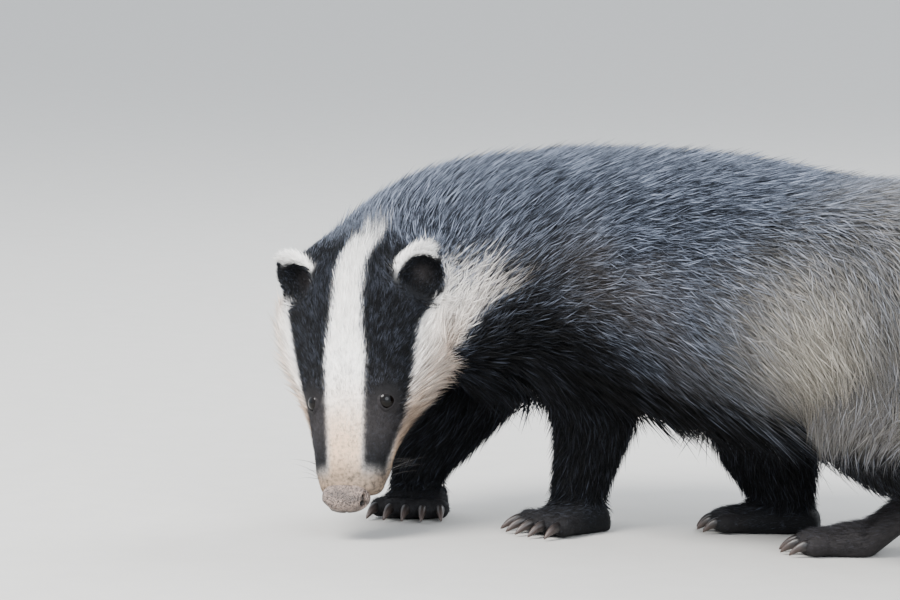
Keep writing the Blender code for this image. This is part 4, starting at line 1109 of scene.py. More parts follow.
# A tuft's length and lift are these shares of what the coat has at its root
LENGTH_SPREAD, LIFT_SPREAD = (0.72, 1.18), (0.45, 1.45)
TURN_TO_COAT, TURN_DOWN = 0.35, 0.6
# Tufts farther from their leader than this stay free of it
CLUMP_REACH = 0.03


def comb(roots, steps, random, stray, reach):
    """Paths from root to tip, one row of places for each tuft."""
    place = at_roots(roots, skin_points)
    out = unit(at_roots(roots, normals))
    way = unit(at_roots(roots, lie))
    grow = {name: at_roots(roots, values) for name, values in growth.items()}
    count = len(place)
    length = reach * grow["length"] * random.uniform(*LENGTH_SPREAD, count)
    lift = grow["lift"] * random.uniform(*LIFT_SPREAD, count)
    side = np.cross(out, way)
    way = unit(way + side * random.normal(0, stray, count)[:, None])
    path = [place - out * SINK]
    for step in range(1, steps + 1):
        share = step / steps
        walk = place + way * (length / steps)[:, None]
        near = nearest(skin_tree, walk)
        face = normals[near]
        flat = ((walk - skin_points[near]) * face).sum(axis=1)
        wanted = length * lift * share**1.2
        height = grow["cling"] * wanted + (1 - grow["cling"]) * np.maximum(flat, wanted)
        place = walk + face * (height - flat)[:, None]
        pull = lie[near] * TURN_TO_COAT - UP * (grow["sag"] * share * TURN_DOWN)[:, None]
        way = unit(way + pull + side * random.normal(0, stray * 0.5, count)[:, None])
        path.append(place)
    return np.stack(path, axis=1), out


def clumped(path, spacing, strength, area, random):
    """Paths with their tips drawn to leaders that stand this far apart, and each one's leader."""
    roots = path[:, 0]
    leaders = random.permutation(len(roots))[: max(int(area / spacing**2), 1)]
    near = leaders[nearest(tree_of(roots[leaders]), roots)]
    share = np.linspace(0, 1, path.shape[1])[None, :, None] ** 1.5
    draw = strength * random.uniform(0.3, 1.0, len(roots))[:, None, None]
    apart = np.linalg.norm(path[near] - path, axis=2, keepdims=True)
    draw = draw * (apart < CLUMP_REACH)
    return path + (path[near] - path) * share * draw, near


print("tuft foot sinks", SINK * 1000, "mm")

# %% [markdown]
# When the looks are baked to images, each blade needs a place of its own on a flat map. The map
# named OFBake has a strip for each part of the animal, with the parts' length along the strip
# and their girth across it, and every blade has a tiny patch at its root's place.

# %% A flat map of the skin
ATLAS_PATCH = 0.003
ATLAS_MARGIN = 0.01
STRIP_MARGIN = 0.05


def atlas_place(roots):
    """Where each root lies on the flat map."""
    face, share = roots
    first = face[:, 0]
    part = skin_part[first]
    reach = [float(source_at[source_part == number].max()) for number in range(len(part_names))]
    along = np.clip(skin_at[first] / np.maximum(reach, 1e-6)[part], 0.0, 1.0)
    around = (skin_angle[first] / (2 * math.pi)) % 1.0
    across = (part + STRIP_MARGIN + (1 - 2 * STRIP_MARGIN) * around) / len(part_names)
    return np.stack((ATLAS_MARGIN + (1 - 2 * ATLAS_MARGIN) * along, across), axis=1)


print("strips of the map:", len(part_names))

# %% [markdown]
# A blade is cheapest as a three-sided spike. All blades of a region go into one mesh, whose
# arrays are filled at once, because adding them one by one would take minutes. Each point keeps
# the coat's markings, how far along its blade it lies, and how far across.

# %% Turn paths into blades
BLADE_PLACES, BLADE_WIDTH = (0, 0.4, 1), (0.8, 1.0, 0.45)


def keep_values(mesh, mark, values):
    """Keeps one number at each point of a mesh, for its material to read."""
    attribute = mesh.attributes.new(mark, "FLOAT", "POINT")
    attribute.data.foreach_set("value", np.asarray(values, np.float32).ravel())


def blade_faces(count, steps, each):
    """Triangles of the blades: a foot, two for each side of each joint, and a pointed tip."""
    faces = [(0, 1, 2)]
    for step in range(steps - 1):
        for corner in range(3):
            a, b = step * 3 + corner, step * 3 + (corner + 1) % 3
            faces += [(a, a + 3, b + 3), (a, b + 3, b)]
    last = (steps - 1) * 3
    faces += [(last + corner, each - 1, last + (corner + 1) % 3) for corner in range(3)]
    return (np.array(faces)[None] + (np.arange(count) * each)[:, None, None]).reshape(-1, 3)


def blades(name, path, out, width, roots, marks, material):
    """One mesh of closed tapering blades, with the coat's markings kept on their points."""
    count, steps = path.shape[0], path.shape[1] - 1
    shares = np.linspace(0, 1, steps + 1)
    along = unit(np.diff(path, axis=1))
    side = unit(np.cross(along, out[:, None]))
    up = np.cross(side, along)
    taper = np.interp(shares[:-1], BLADE_PLACES, BLADE_WIDTH)
    half = width[:, None, None] * 0.5 * taper[None, :, None]
    base = path[:, :-1]
    ring = np.stack((base - side * half, base + side * half, base + up * half * 1.1), axis=2)
    points = np.concatenate((ring.reshape(count, -1, 3), path[:, -1:]), axis=1)
    each = points.shape[1]
    faces = blade_faces(count, steps, each)
    points = points.reshape(-1, 3)
    points[:, 2] = np.maximum(points[:, 2], LEAST_LEVEL["hair"])
    mesh = bpy.data.meshes.new(name)
    mesh.vertices.add(len(points))
    mesh.vertices.foreach_set("co", (points - CENTRE).ravel())
    mesh.loops.add(faces.size)
    mesh.loops.foreach_set("vertex_index", faces.ravel())
    mesh.polygons.add(len(faces))
    mesh.polygons.foreach_set("loop_start", np.arange(0, faces.size, 3))
    mesh.update(calc_edges=True)
    mesh.shade_smooth()
    lengthways = np.append(np.repeat(shares[:-1], 3), 1.0)
    sideways = np.append(np.tile((0.0, 1.0, 0.5), steps), 0.5)
    for mark, values in marks.items():
        keep_values(mesh, mark, np.repeat(values, each))
    for mark, values in (("along", lengthways), ("across", sideways)):
        keep_values(mesh, mark, np.tile(values, count))
    spot = np.stack((sideways, lengthways), axis=1) * ATLAS_PATCH
    flat = (atlas_place(roots)[:, None] + spot[None]).reshape(-1, 2)
    bake_map = mesh.uv_layers.new(name="OFBake")
    bake_map.data.foreach_set("uv", flat[faces.ravel()].astype(np.float32).ravel())
    mesh.materials.append(material)
    made = bpy.data.objects.new(name, mesh)
    bpy.context.scene.collection.objects.link(made)
    return made


long_faces, short_faces = (len(blade_faces(1, steps, 3 * steps + 1)) for steps in (2, 1))
print("a long tuft has", long_faces, "triangles, a short one", short_faces)

# %% [markdown]
# ## Materials
#
# A material is a small sum: where is it dark, where is it rough, where does it catch light. One
# class lets that sum be written as a plain expression, and adds the nodes for it.

# %% A class for shader sums


class Wire:
    """One wire of a material's nodes. Sums on wires add Math nodes, and node() adds any other."""

    def __init__(self, tree, socket=None):
        """A wire from this socket, or a first wire that only knows its tree of nodes."""
        self.tree = tree
        self.socket = socket

    def node(self, kind, settings=None, values=None, out=0):
        """Adds a node with these settings and socket values, and gives the wire from one output."""
        made = self.tree.nodes.new("ShaderNode" + kind)
        for name, value in (settings or {}).items():
            setattr(made, name, value)
        for name, value in (values or {}).items():
            if isinstance(value, Wire):
                self.tree.links.new(value.socket, made.inputs[name])
            else:
                made.inputs[name].default_value = value
        return Wire(self.tree, made.outputs[out] if len(made.outputs) else None)

    def pattern(self, kind, **values):
        """A procedural texture laid out in metres on the piece itself."""
        return self.node("Tex" + kind, {}, {"Vector": self.node("TexCoord", {}, {}, 3), **values})

    def mark(self, name):
        """The numbers that keep_values() kept on the piece under this name."""
        return self.node("Attribute", {"attribute_name": name}, {}, 2)

    def bump(self, strength, distance):
        """Small relief where this wire is high, for a shader's Normal."""
        return self.node("Bump", {}, {"Strength": strength, "Distance": distance, "Height": self})

    def maths(self, operation, first, second=0.0):
        """Adds a Math node for two wires or numbers."""
        return self.node("Math", {"operation": operation}, {0: first, 1: second})

    def __add__(self, other):
        return self.maths("ADD", self, other)

    def __radd__(self, other):
        return self.maths("ADD", other, self)

    def __sub__(self, other):
        return self.maths("SUBTRACT", self, other)

    def __rsub__(self, other):
        return self.maths("SUBTRACT", other, self)

    def __mul__(self, other):
        return self.maths("MULTIPLY", self, other)

    def __rmul__(self, other):
        return self.maths("MULTIPLY", other, self)

    def clip(self):
        """The same, but never below zero or above one."""
        return self.node("Clamp", {}, {"Value": self})

    def rise(self, low, high):
        """Zero below the low value and one above the high one."""
        kind = {"interpolation_type": "SMOOTHSTEP"}
        return self.node("MapRange", kind, {"Value": self, "From Min": low, "From Max": high})

    def mix(self, first, second):
        """From the first colour to the second as this wire goes from zero to one."""
        return self.node("Mix", {"data_type": "RGBA"}, {0: self, 6: first, 7: second}, 2)


def start_material(name):
    """An empty material and a first wire on its nodes."""
    material = bpy.data.materials.new(name)
    material.use_nodes = True
    material.node_tree.nodes.clear()
    return material, Wire(material.node_tree)


def finish_material(wire, **values):
    """Adds the Principled shader with these sockets and joins it to the output."""
    sockets = {name.replace("_", " "): value for name, value in values.items()}
    shader = wire.node("BsdfPrincipled", {}, sockets)
    wire.node("OutputMaterial", {}, {"Surface": shader})


def colour(red, green, blue):
    """A shade given as it looks on screen, from 0 to 255, turned to the shader's own scale."""
    parts = np.array((red, green, blue)) / 255.0
    linear = np.where(parts <= 0.04045, parts / 12.92, ((parts + 0.055) / 1.055) ** 2.4)
    return (*map(float, linear), 1.0)


print("a mid grey on screen is", round(colour(128, 128, 128)[0], 3), "to the shader")

# %% [markdown]
# Badger hair is banded: pale at the root, black in the middle and white at the tip, which is
# what makes the back look grizzled. White and black hairs keep one colour, with some warmth in
# the white, paler tips on the black that stand for grey tips and painted sheen, and painted shade
# at the roots of the white and in some darker white tufts. The skin under the hair takes the same
# markings, with a fleck in place of each hair's own chance and the colours of the roots, painted
# shade included, so no gap glares.

# %% The coat's material
WHITE = colour(254, 252, 249)
CREAM = colour(225, 193, 161)
PEACH = colour(200, 164, 138)
# Painted shade at the roots of white hair, which also darkens the skin between the hairs
WHITE_ROOT_SHADE = colour(158, 144, 132)
SHADOW = colour(112, 100, 92)
BLACK = colour(9, 10, 13)
# Paler tips of black hair, which stand for grey tips and for painted sheen
BLACK_TIP_AND_SHEEN = colour(54, 58, 68)
RUST = colour(78, 72, 71)
GREY_ROOT = colour(68, 72, 80)
GREY_BAND = colour(34, 38, 46)
SILVER = colour(126, 134, 151)
BEIGE = colour(102, 94, 87)
PALE_ROOT = colour(122, 118, 113)
PALE_TIP = colour(196, 188, 175)


def coat_material(name, on_skin):
    """The coat's colours, for the hair or for the skin under it."""
    material, wire = start_material(name)
    marks = {mark: wire.mark(mark) for mark in ("white", "black", "warm", "pale", "painted_shade_and_tone")}
    if on_skin:
        fleck = wire.pattern("Noise", Scale=420.0, Detail=4.0)
        # The skin takes the colours of the hairs' roots, with the painted shade at the roots of white hair
        chance, share, strand = fleck, fleck * 0.5 + 0.1, fleck
    else:
        chance, share = wire.mark("chance"), wire.mark("along")
        streak = wire.mark("across") * 3.5 + chance * 90.0
        strand = wire.node("TexNoise", {"noise_dimensions": "1D"}, {"W": streak, "Scale": 1.0})
    patch = wire.pattern("Noise", Scale=22.0, Detail=2.0)
    silver = (share + strand * 0.4 + chance * 0.3 - 0.35).rise(0.46, 0.76)
    silver = silver * (chance * 1.2 - 0.05).clip()
    grey = share.rise(0.15, 0.42).mix(GREY_ROOT, GREY_BAND)
    grey = silver.mix(grey, SILVER)
    grey = (marks["warm"] * patch.rise(0.30, 0.65) * 0.6).mix(grey, BEIGE)
    pale = share.rise(0.10, 0.75).mix(PALE_ROOT, PALE_TIP)
    pale = (chance.rise(0.70, 0.90) * 0.3).mix(pale, GREY_BAND)
    white = (marks["warm"] * (0.6 + patch * 0.7)).clip().mix(WHITE, CREAM)
    white = (marks["warm"].rise(0.3, 0.9) * chance.rise(0.40, 0.90) * 0.8).mix(white, PEACH)
    white = ((1 - chance).rise(0.46, 0.86) * (0.18 + marks["warm"] * 0.80)).mix(white, SHADOW)
    # Painted shade at the roots of white hair
    white = ((1 - share.rise(0.0, 0.55)) * (0.15 + marks["warm"] * 0.6)).mix(white, WHITE_ROOT_SHADE)
    # Grey tips and painted sheen on the black hair
    black = (share * chance).rise(0.30, 0.80).mix(BLACK, BLACK_TIP_AND_SHEEN)
    black = (marks["warm"] * (0.4 + chance * 0.6)).mix(black, RUST)
    shade = marks["pale"].mix(grey, pale)
    shade = marks["black"].mix(shade, black)
    shade = marks["white"].mix(shade, white)
    uneven = chance * 0.6 + strand * 0.4 - 0.5
    uneven = uneven * (0.66 - marks["white"] * (0.20 - marks["warm"] * 0.30))
    # The mark for painted shade and darker tone darkens every colour here
    bright = 1.0 + uneven - marks["painted_shade_and_tone"] * 0.62
    tone = wire.node("HueSaturation", {}, {"Value": bright, "Color": shade})
    rough = 0.74 + marks["white"] * 0.1
    more = {"Normal": wire.pattern("Noise", Scale=900.0).bump(0.5, 0.0006)} if on_skin else {}
    finish_material(wire, Base_Color=tone, Roughness=rough, Specular_IOR_Level=0.18, **more)
    return material


hair_material = coat_material("coat_hair", False)
skin_material = coat_material("coat_skin", True)
print("coat materials:", hair_material.name, skin_material.name)

# %% [markdown]
# The skin now takes its material and keeps the markings on its points. It stands for every solid
# of flesh at once; only the eyes and the nose pad are replaced by pieces of their own.

# %% Dress the skin
skin_mesh.materials.clear()
skin_mesh.materials.append(skin_material)
skin_mesh.shade_smooth()
for mark, values in coat.items():
    keep_values(skin_mesh, mark, values)
skin = bpy.data.objects.new("skin", skin_mesh)
bpy.context.scene.collection.objects.link(skin)
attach(skin, "root")
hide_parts(*(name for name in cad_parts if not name.startswith(("eye", "nose"))))
print("skin stands for", len(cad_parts) - 3, "nodes")

# %% [markdown]
# ## Grow the coat
#
# Each region of the coat is its own piece or pair of pieces, so that none is too heavy to load
# on its own. Most regions mix long tufts, which bend once, with many short straight ones between
# them. The muzzle and the feet have only short tufts, and the tail only long ones.

# %% Regions of the coat
# Each entry: how many long tufts and short ones, their widths in millimetres, the millimetres
# between clumps, how strongly clumps draw, and the slot.
REGIONS = {
    "coat_muzzle": (0, 26000, 0.0, 0.38, 1.5, 0.20, "face_fur"),
    "coat_brow": (2000, 30000, 0.52, 0.46, 2.2, 0.30, "face_fur"),
    "coat_cheeks": (8500, 15000, 0.62, 0.54, 2.8, 0.42, "face_fur"),
    "coat_neck": (8500, 15000, 0.75, 0.66, 3.0, 0.35, "grey_coat"),
    "coat_shoulders": (8500, 20000, 0.72, 0.66, 4.2, 0.50, "grey_coat"),
    "coat_back": (8500, 20000, 0.75, 0.68, 4.4, 0.50, "grey_coat"),
    "coat_flank": (8500, 20000, 0.78, 0.70, 4.4, 0.46, "grey_coat"),
    "coat_rump": (6000, 10000, 0.80, 0.74, 5.0, 0.45, "grey_coat"),
    "coat_belly": (4200, 4500, 1.00, 0.90, 6.0, 0.50, "black_fur"),
    "coat_forelegs": (3500, 11000, 0.80, 0.70, 3.0, 0.30, "black_fur"),
    "coat_hindlegs": (3500, 11000, 0.80, 0.70, 3.0, 0.30, "black_fur"),
    "coat_feet": (0, 12500, 0.0, 0.55, 2.0, 0.20, "paw"),
    "coat_tail": (3600, 0, 1.00, 0.0, 6.0, 0.50, "pale_coat"),
    "coat_ears": (2000, 6000, 0.46, 0.42, 1.5, 0.15, "face_fur"),
}
# How far a tuft strays from the lie of the coat, as a share of its way
STRAY = {"face_fur": 0.16, "grey_coat": 0.32, "pale_coat": 0.20, "black_fur": 0.20, "paw": 0.15}
BROW_START = 0.057
# Rows of the trunk where the shoulders end and the rump starts, and angles from its spine
SHOULDERS_END, RUMP_START = 5.0, 9.0
FLANK_ANGLE, BELLY_ANGLE = 70, 125
over_cheek = on_face & (cheek_angle > 68) & (back > 0.055)
on_neck, fore = skin_at < NECK_END, skin_at < SHOULDERS_END
rear = skin_at >= RUMP_START
low, high = angle_degrees > BELLY_ANGLE, angle_degrees < FLANK_ANGLE
barrel = on_trunk & ~fore & ~rear & ~low
region_of = {
    "coat_muzzle": on_face & (back < BROW_START) & ~over_cheek,
    "coat_brow": on_face & (back >= BROW_START) & ~over_cheek,
    "coat_cheeks": over_cheek,
    "coat_neck": on_trunk & on_neck,
    "coat_shoulders": on_trunk & ~on_neck & fore & ~low,
    "coat_back": barrel & high,
    "coat_flank": barrel & ~high,
    "coat_rump": on_trunk & rear & ~low,
    "coat_belly": on_trunk & ~on_neck & low,
    "coat_forelegs": is_part("foreleg_left", "foreleg_right"),
    "coat_hindlegs": is_part("hindleg_left", "hindleg_right"),
    "coat_feet": is_part(*PAWS) & (normals[:, 2] > -0.4),
    "coat_tail": is_part("tail"),
    "coat_ears": ears,
}
clear = smooth_step(0.0074, 0.0086, eye_gap) * smooth_step(0.0006, 0.0018, mouth_gap)
clear *= np.where(ears, 1 + 1.5 * ear_rim - 0.4 * ear_hollow, 1.0)
clear *= smooth_step(0.86, 0.96, np.linalg.norm((head_place - NOSE_PLACE) / NOSE_HALF, axis=1))
print("points of each region:", {name: int(inside.sum()) for name, inside in region_of.items()})

# %% [markdown]
# Where two colours meet, each tuft takes one or the other by chance, so that the border is a
# fringe of whole hairs and not a smear. Hairs of one clump share part of their shade, so that
# locks show and not only hairs.

SHORT_REACH = 0.84
SHARED_ON_FACE, SHARED_ELSEWHERE = 0.62, 0.46


def grow_region(name, number):
    """The long and short tufts of one region, and how many triangles each piece has."""
    long_count, short_count, long_width, short_width, spacing, strength, slot = REGIONS[name]
    random = np.random.default_rng(100 + number)
    kinds = ("long", 2, long_count, long_width, 1.0), ("short", 1, short_count, short_width, SHORT_REACH)
    made = []
    for kind, steps, count, width, reach in kinds:
        count = count
        if not count:
            continue
        width = width * 0.001 * 1.0
        roots, area = scatter(count, region_of[name] * clear, random)
        path, out = comb(roots, steps, random, STRAY[slot], reach)
        path, clump = clumped(path, spacing * 0.001, strength, area, random)
        covered = nearest(skin_tree, path[:, 0] * 0.4 + path[:, -1] * 0.6)
        marks = {mark: values[covered] for mark, values in coat.items()}
        choose = random.random(count)
        for mark in ("white", "black"):
            marks[mark] = smooth_step(-0.18, 0.18, marks[mark] - 0.15 - 0.7 * choose)
        shared = SHARED_ON_FACE if slot == "face_fur" else SHARED_ELSEWHERE
        chance = (1 - shared) * random.random(count) + shared * random.random(count)[clump]
        marks["chance"] = np.clip(0.5 + (chance - 0.5) * 1.35, 0.0, 1.0)
        widths = width * random.uniform(0.7, 1.3, count)
        piece = blades(f"{name}_{kind}", path, out, widths, roots, marks, hair_material)
        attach(piece, "root")
        made.append(len(piece.data.polygons))
    return made


total = {name: grow_region(name, number) for number, name in enumerate(REGIONS)}
print("tufts' triangles:", sum(map(sum, total.values())), total)

# %% [markdown]
# ## Eyes
#
# A badger's eyes are small, dark and wet. A smooth ball with a low roughness gives the round
# highlight, and a lid of thin grey skin round it sets it into the face.

# %% Eye material and a helper for closed pieces


def eye_axes(side):
    """Along the eye toward the nape, across it, and the way it looks."""
    look = HEAD_OUT * math.cos(EYE_AIM) + HEAD_LEFT * math.sin(EYE_AIM) * side
    look = unit(look - HEAD_BACK * 0.20)
    along = unit(HEAD_BACK - look * float(HEAD_BACK @ look))
    return along, np.cross(look, along), look


def surface_piece(name, rings, material, slot, *nodes):
    """A closed piece over rings of points, riding on the body."""
    rings = np.asarray(rings)
    made = mesh_of(name, rings.reshape(-1, 3), shell_faces(*rings.shape[:2]))
    editable = bmesh.new()
    editable.from_mesh(made.data)
    bmesh.ops.recalc_face_normals(editable, faces=editable.faces)
    editable.to_mesh(made.data)
    editable.free()
    made.data.shade_smooth()
    made.data.materials.append(material)
    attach(made, "root")
    if nodes:
        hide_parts(*nodes)
    return made


def eye_material():
    """Near black all over, with a dark iris that shows only close up."""
    material, wire = start_material("eye_wet")
    place = wire.mark("rim")
    fleck = wire.pattern("Noise", Scale=1500.0, Detail=3.0)
    iris = (fleck * 0.5 + place.rise(0.30, 0.62) * 0.5).mix(colour(5, 4, 3), colour(14, 9, 7))
    dark = place.rise(0.30, 0.36).mix(colour(3, 3, 4), iris)
    shade = place.rise(0.74, 0.86).mix(dark, colour(20, 13, 11))
    finish_material(wire, Base_Color=shade, Roughness=0.07, Specular_IOR_Level=0.22)
    return material


wet = eye_material()
print("eye material:", wet.name)

# %% [markdown]
# The skin was smoothed after its forms were made, so nobody knows beforehand how far it stands
# out round an eye. It is measured in a ring beside each eye, and the ball is sunk until the skin
# meets it at the level of the lids.

# %% Eyeballs
EYE_RINGS, EYE_SIDES = 32, 48
LEVEL_RING = (0.0065, 0.0090)


def skin_level(side):
    """How far the skin round the eye stands out from the eye's own place, along its gaze."""
    look = eye_axes(side)[2]
    away = skin_points - eye_place(side)
    height = away @ look
    reach = np.linalg.norm(away - height[:, None] * look, axis=1)
    return float(height[(reach > LEVEL_RING[0]) & (reach < LEVEL_RING[1]) & (height > -0.02)].mean())


levels = [skin_level(side) for side in (1, -1)]
eye_sunk = LID_LEVEL - sum(levels) / 2
print("skin stands out at the eyes by", np.round(levels, 4), "so the ball sinks by", round(eye_sunk, 4))
for name, side in (("eye_left", 1), ("eye_right", -1)):
    along, across, look = eye_axes(side)
    centre = eye_place(side) - look * eye_sunk
    polar = np.linspace(0.02, math.pi - 0.02, EYE_RINGS)
    turn = np.linspace(0, 2 * math.pi, EYE_SIDES, endpoint=False)
    ring = along * np.cos(turn)[:, None] + across * np.sin(turn)[:, None]
    rings = [centre + EYE_RADIUS * (look * math.cos(p) + math.sin(p) * ring) for p in polar]
    ball = surface_piece(name + "_ball", rings, wet, "eye", name)
    rim = np.repeat(np.sin(np.minimum(polar, math.pi / 2)), EYE_SIDES)
    keep_values(ball.data, "rim", rim)
print("eyes", round(EYE_RADIUS * 2000, 1), "mm across")

# %% [markdown]
# A lid is a rounded rim of bare, wrinkled skin. Ovals of changing size, joined in a loop from the
# outside over the margin to the inside, give a closed ring that the eyeball fills.

# %% Lids
LID_SIDES = 64
# Each entry: half length, half height, how far along the gaze from the middle of the eyeball.
LID_PROFILE = (
    (0.0086, 0.0081, 0.0012),
    (0.0070, 0.0064, 0.0038),
    (0.0062, 0.0056, 0.0048),
    (0.0056, 0.0050, 0.0052),
    (0.0052, 0.0046, 0.0051),
    (0.0050, 0.0044, 0.0047),
    (0.0056, 0.0050, 0.0034),
    (0.0080, 0.0074, 0.0008),
)
LID_MARGIN = (0.0, 0.0, 0.0, 0.3, 1.0, 1.0, 1.0, 1.0)


def lid_material():
    """Dark wrinkled skin, darkest at the margin."""
    material, wire = start_material("lid_skin")
    fold = wire.pattern("Noise", Scale=1100.0, Detail=5.0)
    shade = fold.rise(0.3, 0.7).mix(colour(20, 18, 20), colour(42, 39, 40))
    shade = wire.mark("margin").rise(0.45, 0.85).mix(shade, colour(12, 10, 11))
    rough, relief = 0.6 + fold * 0.2, fold.bump(0.6, 0.0004)
    finish_material(wire, Base_Color=shade, Roughness=rough, Specular_IOR_Level=0.2, Normal=relief)
    return material


lid_skin = lid_material()
for name, side in (("lids_left", 1), ("lids_right", -1)):
    along, across, look = eye_axes(side)
    centre = eye_place(side) - look * eye_sunk
    turn = np.linspace(0, 2 * math.pi, LID_SIDES, endpoint=False)
    pinch = 1.0 + 0.10 * np.cos(turn) ** 8
    rings = []
    for half_long, half_high, height in LID_PROFILE:
        flat = along * (half_long * pinch * np.cos(turn))[:, None]
        flat = flat + across * (half_high * np.sin(turn))[:, None]
        rings.append(centre + flat + look * height)
    faces = []
    for row in range(len(rings)):
        for place in range(LID_SIDES):
            start, ahead = row * LID_SIDES, (place + 1) % LID_SIDES
            below = (row + 1) % len(rings) * LID_SIDES
            corners = (start + place, start + ahead, below + ahead, below + place)
            faces.append(corners if side > 0 else corners[::-1])
    lids = mesh_of(name, np.array(rings).reshape(-1, 3), faces)
    keep_values(lids.data, "margin", np.repeat(LID_MARGIN, LID_SIDES))
    lids.data.materials.append(lid_skin)
    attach(lids, "root")
print("lids leave", round(min(entry[0] for entry in LID_PROFILE) * 2000, 1), "mm of the eye open")

# %% [markdown]
# ## Nose
#
# The nose pad is bare, broad and pebbled, with a comma-shaped nostril at each side and a groove
# between. It starts as an ellipsoid of many rings, and the nostrils and the groove are pushed
# in, which keeps one smooth skin over them.

# %% Nose pad
NOSE_RINGS, NOSE_SIDES = 80, 128


def nose_material():
    """Damp pebbled skin in two browns, with painted shade in its hollows and between the pebbles."""
    material, wire = start_material("nose_pad")
    pebble = wire.pattern("Voronoi", Scale=1050.0, Randomness=1.0)
    blotch = wire.pattern("Noise", Scale=260.0, Detail=4.0)
    shade = blotch.rise(0.35, 0.65).mix(colour(98, 86, 80), colour(146, 127, 116))
    # Painted shade in the grooves between the pebbles
    shade = (pebble.rise(0.45, 0.85) * 0.9).mix(shade, colour(44, 37, 35))
    # Painted shade in the nostrils and the groove, and painted shadow along the pad's lower edge
    shade = wire.mark("hollow").rise(0.15, 0.75).mix(shade, colour(16, 12, 12))
    rough, relief = 0.40 + blotch * 0.2, (1 - pebble).bump(0.9, 0.0009)
    finish_material(wire, Base_Color=shade, Roughness=rough, Normal=relief)
    return material


polar = np.linspace(0.03, math.pi - 0.03, NOSE_RINGS)[:, None]
turn = np.linspace(0, 2 * math.pi, NOSE_SIDES, endpoint=False)[None]
across = rounded(np.cos(turn), 2.6) * np.sin(polar) ** 0.85
high = rounded(np.sin(turn), 2.4) * np.sin(polar) ** 0.85
front = np.cos(polar) + 0 * turn
hollow = np.zeros_like(across)
for side in (1, -1):
    # The round of the comma faces forward and its tail curls back along the side of the pad
    spot = ((across - side * 0.86 - 0.05) / 0.17) ** 2 + ((high - 0.12) / 0.42) ** 2
    spot = spot + ((front - 0.60) / 0.30) ** 2
    curl = ((across - side * 0.96) / 0.12) ** 2 + ((high - 0.46) / 0.22) ** 2
    curl = curl + ((front - 0.22) / 0.32) ** 2
    hollow = np.maximum(hollow, np.maximum(np.exp(-(spot**2)), 0.85 * np.exp(-(curl**2))))
groove = np.exp(-((across / 0.05) ** 2)) * smooth_step(0.35, 0.75, front) * smooth_step(0.5, 0.0, high)
shrink = 1.0 - 0.34 * hollow - 0.07 * groove
# Painted shadow along the lower edge of the pad
under = 0.52 * smooth_step(0.60, 1.0, 0.93 * front - 0.37 * high)
pad = on_head(*NOSE_PLACE) + (across * shrink * NOSE_HALF[1])[..., None] * HEAD_LEFT
pad = pad + (high * shrink * NOSE_HALF[2])[..., None] * HEAD_OUT
pad = pad - (front * shrink * NOSE_HALF[0])[..., None] * HEAD_BACK
nose = surface_piece("nose_pad", pad, nose_material(), "nose_skin", "nose")
# The hollow mark carries the painted shade of nostrils and groove and the painted shadow under the pad
keep_values(nose.data, "hollow", np.maximum(np.maximum(hollow, groove * 0.6), under))
print("nose pad", NOSE_HALF[1] * 2000, "mm wide")

# %% [markdown]
# Stiff whiskers stand in rows on the soft pads beside the nose. They are thin tapering tubes,
# few enough to be modelled one by one.

# %% Whiskers
# Each row: how far back its first whisker stands, and how far out toward the forehead.
WHISKER_ROWS = ((0.011, 0.004), (0.014, -0.003), (0.017, -0.009))
WHISKERS_IN_ROW, WHISKER_SPACING, WHISKER_SIDE = 3, 0.0042, 0.021
WHISKER_RADIUS, WHISKER_LENGTH = 0.00017, (0.014, 0.028)
WHISKER_RINGS, WHISKER_SIDES = 9, 5


def bristle_material():
    """Stiff hair, dark at the root."""
    material, wire = start_material("bristle")
    shade = wire.mark("along").rise(0.2, 0.9).mix(colour(22, 20, 20), colour(74, 70, 68))
    finish_material(wire, Base_Color=shade, Roughness=0.5)
    return material


random = np.random.default_rng(7)
rings = []
for side in (1, -1):
    for first_back, first_out in WHISKER_ROWS:
        for number in range(WHISKERS_IN_ROW):
            level = first_out + random.uniform(-0.001, 0.001)
            start = on_head(first_back + WHISKER_SPACING * number, WHISKER_SIDE * side, level)
            root = skin_points[nearest(skin_tree, start[None])[0]]
            way = HEAD_LEFT * side + HEAD_BACK * random.uniform(0.25, 0.75)
            way = unit(way + HEAD_OUT * random.uniform(-0.45, 0.15))
            reach = random.uniform(*WHISKER_LENGTH)
            steps = np.linspace(-0.05, 1.0, WHISKER_RINGS)
            path = root + way * (reach * steps)[:, None] - UP * (reach * 0.22 * steps**2)[:, None]
            path[:, 2] = np.maximum(path[:, 2], LEAST_LEVEL["whisker"])
            radii = WHISKER_RADIUS * (1.03 - np.clip(steps, 0, 1) ** 0.8)
            rings.append(tube(path, radii, HEAD_OUT, WHISKER_SIDES))
faces = []
for number in range(len(rings)):
    faces += shell_faces(WHISKER_RINGS, WHISKER_SIDES, number * WHISKER_RINGS * WHISKER_SIDES)
whiskers = mesh_of("whiskers", np.array(rings).reshape(-1, 3), faces)
whiskers.data.materials.append(bristle_material())
along = np.repeat(np.linspace(0, 1, WHISKER_RINGS), WHISKER_SIDES)
keep_values(whiskers.data, "along", np.tile(along, len(rings)))
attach(whiskers, "root")
print("whiskers:", len(rings))

# %% [markdown]
# ## Claws
#
# A badger digs with long, strong claws that curve down from each toe. Horn is smooth along its
# length, darker at the root and pale and worn at the tip.

# %% Claws
CLAW_RADIUS, CLAW_CLEARANCE = 0.0034, 0.0016
# A claw leaves its toe this share of the toe's length out, at this height
CLAW_START, CLAW_LEVEL = 0.78, 0.0078
CLAW_RINGS, CLAW_SIDES = 14, 16


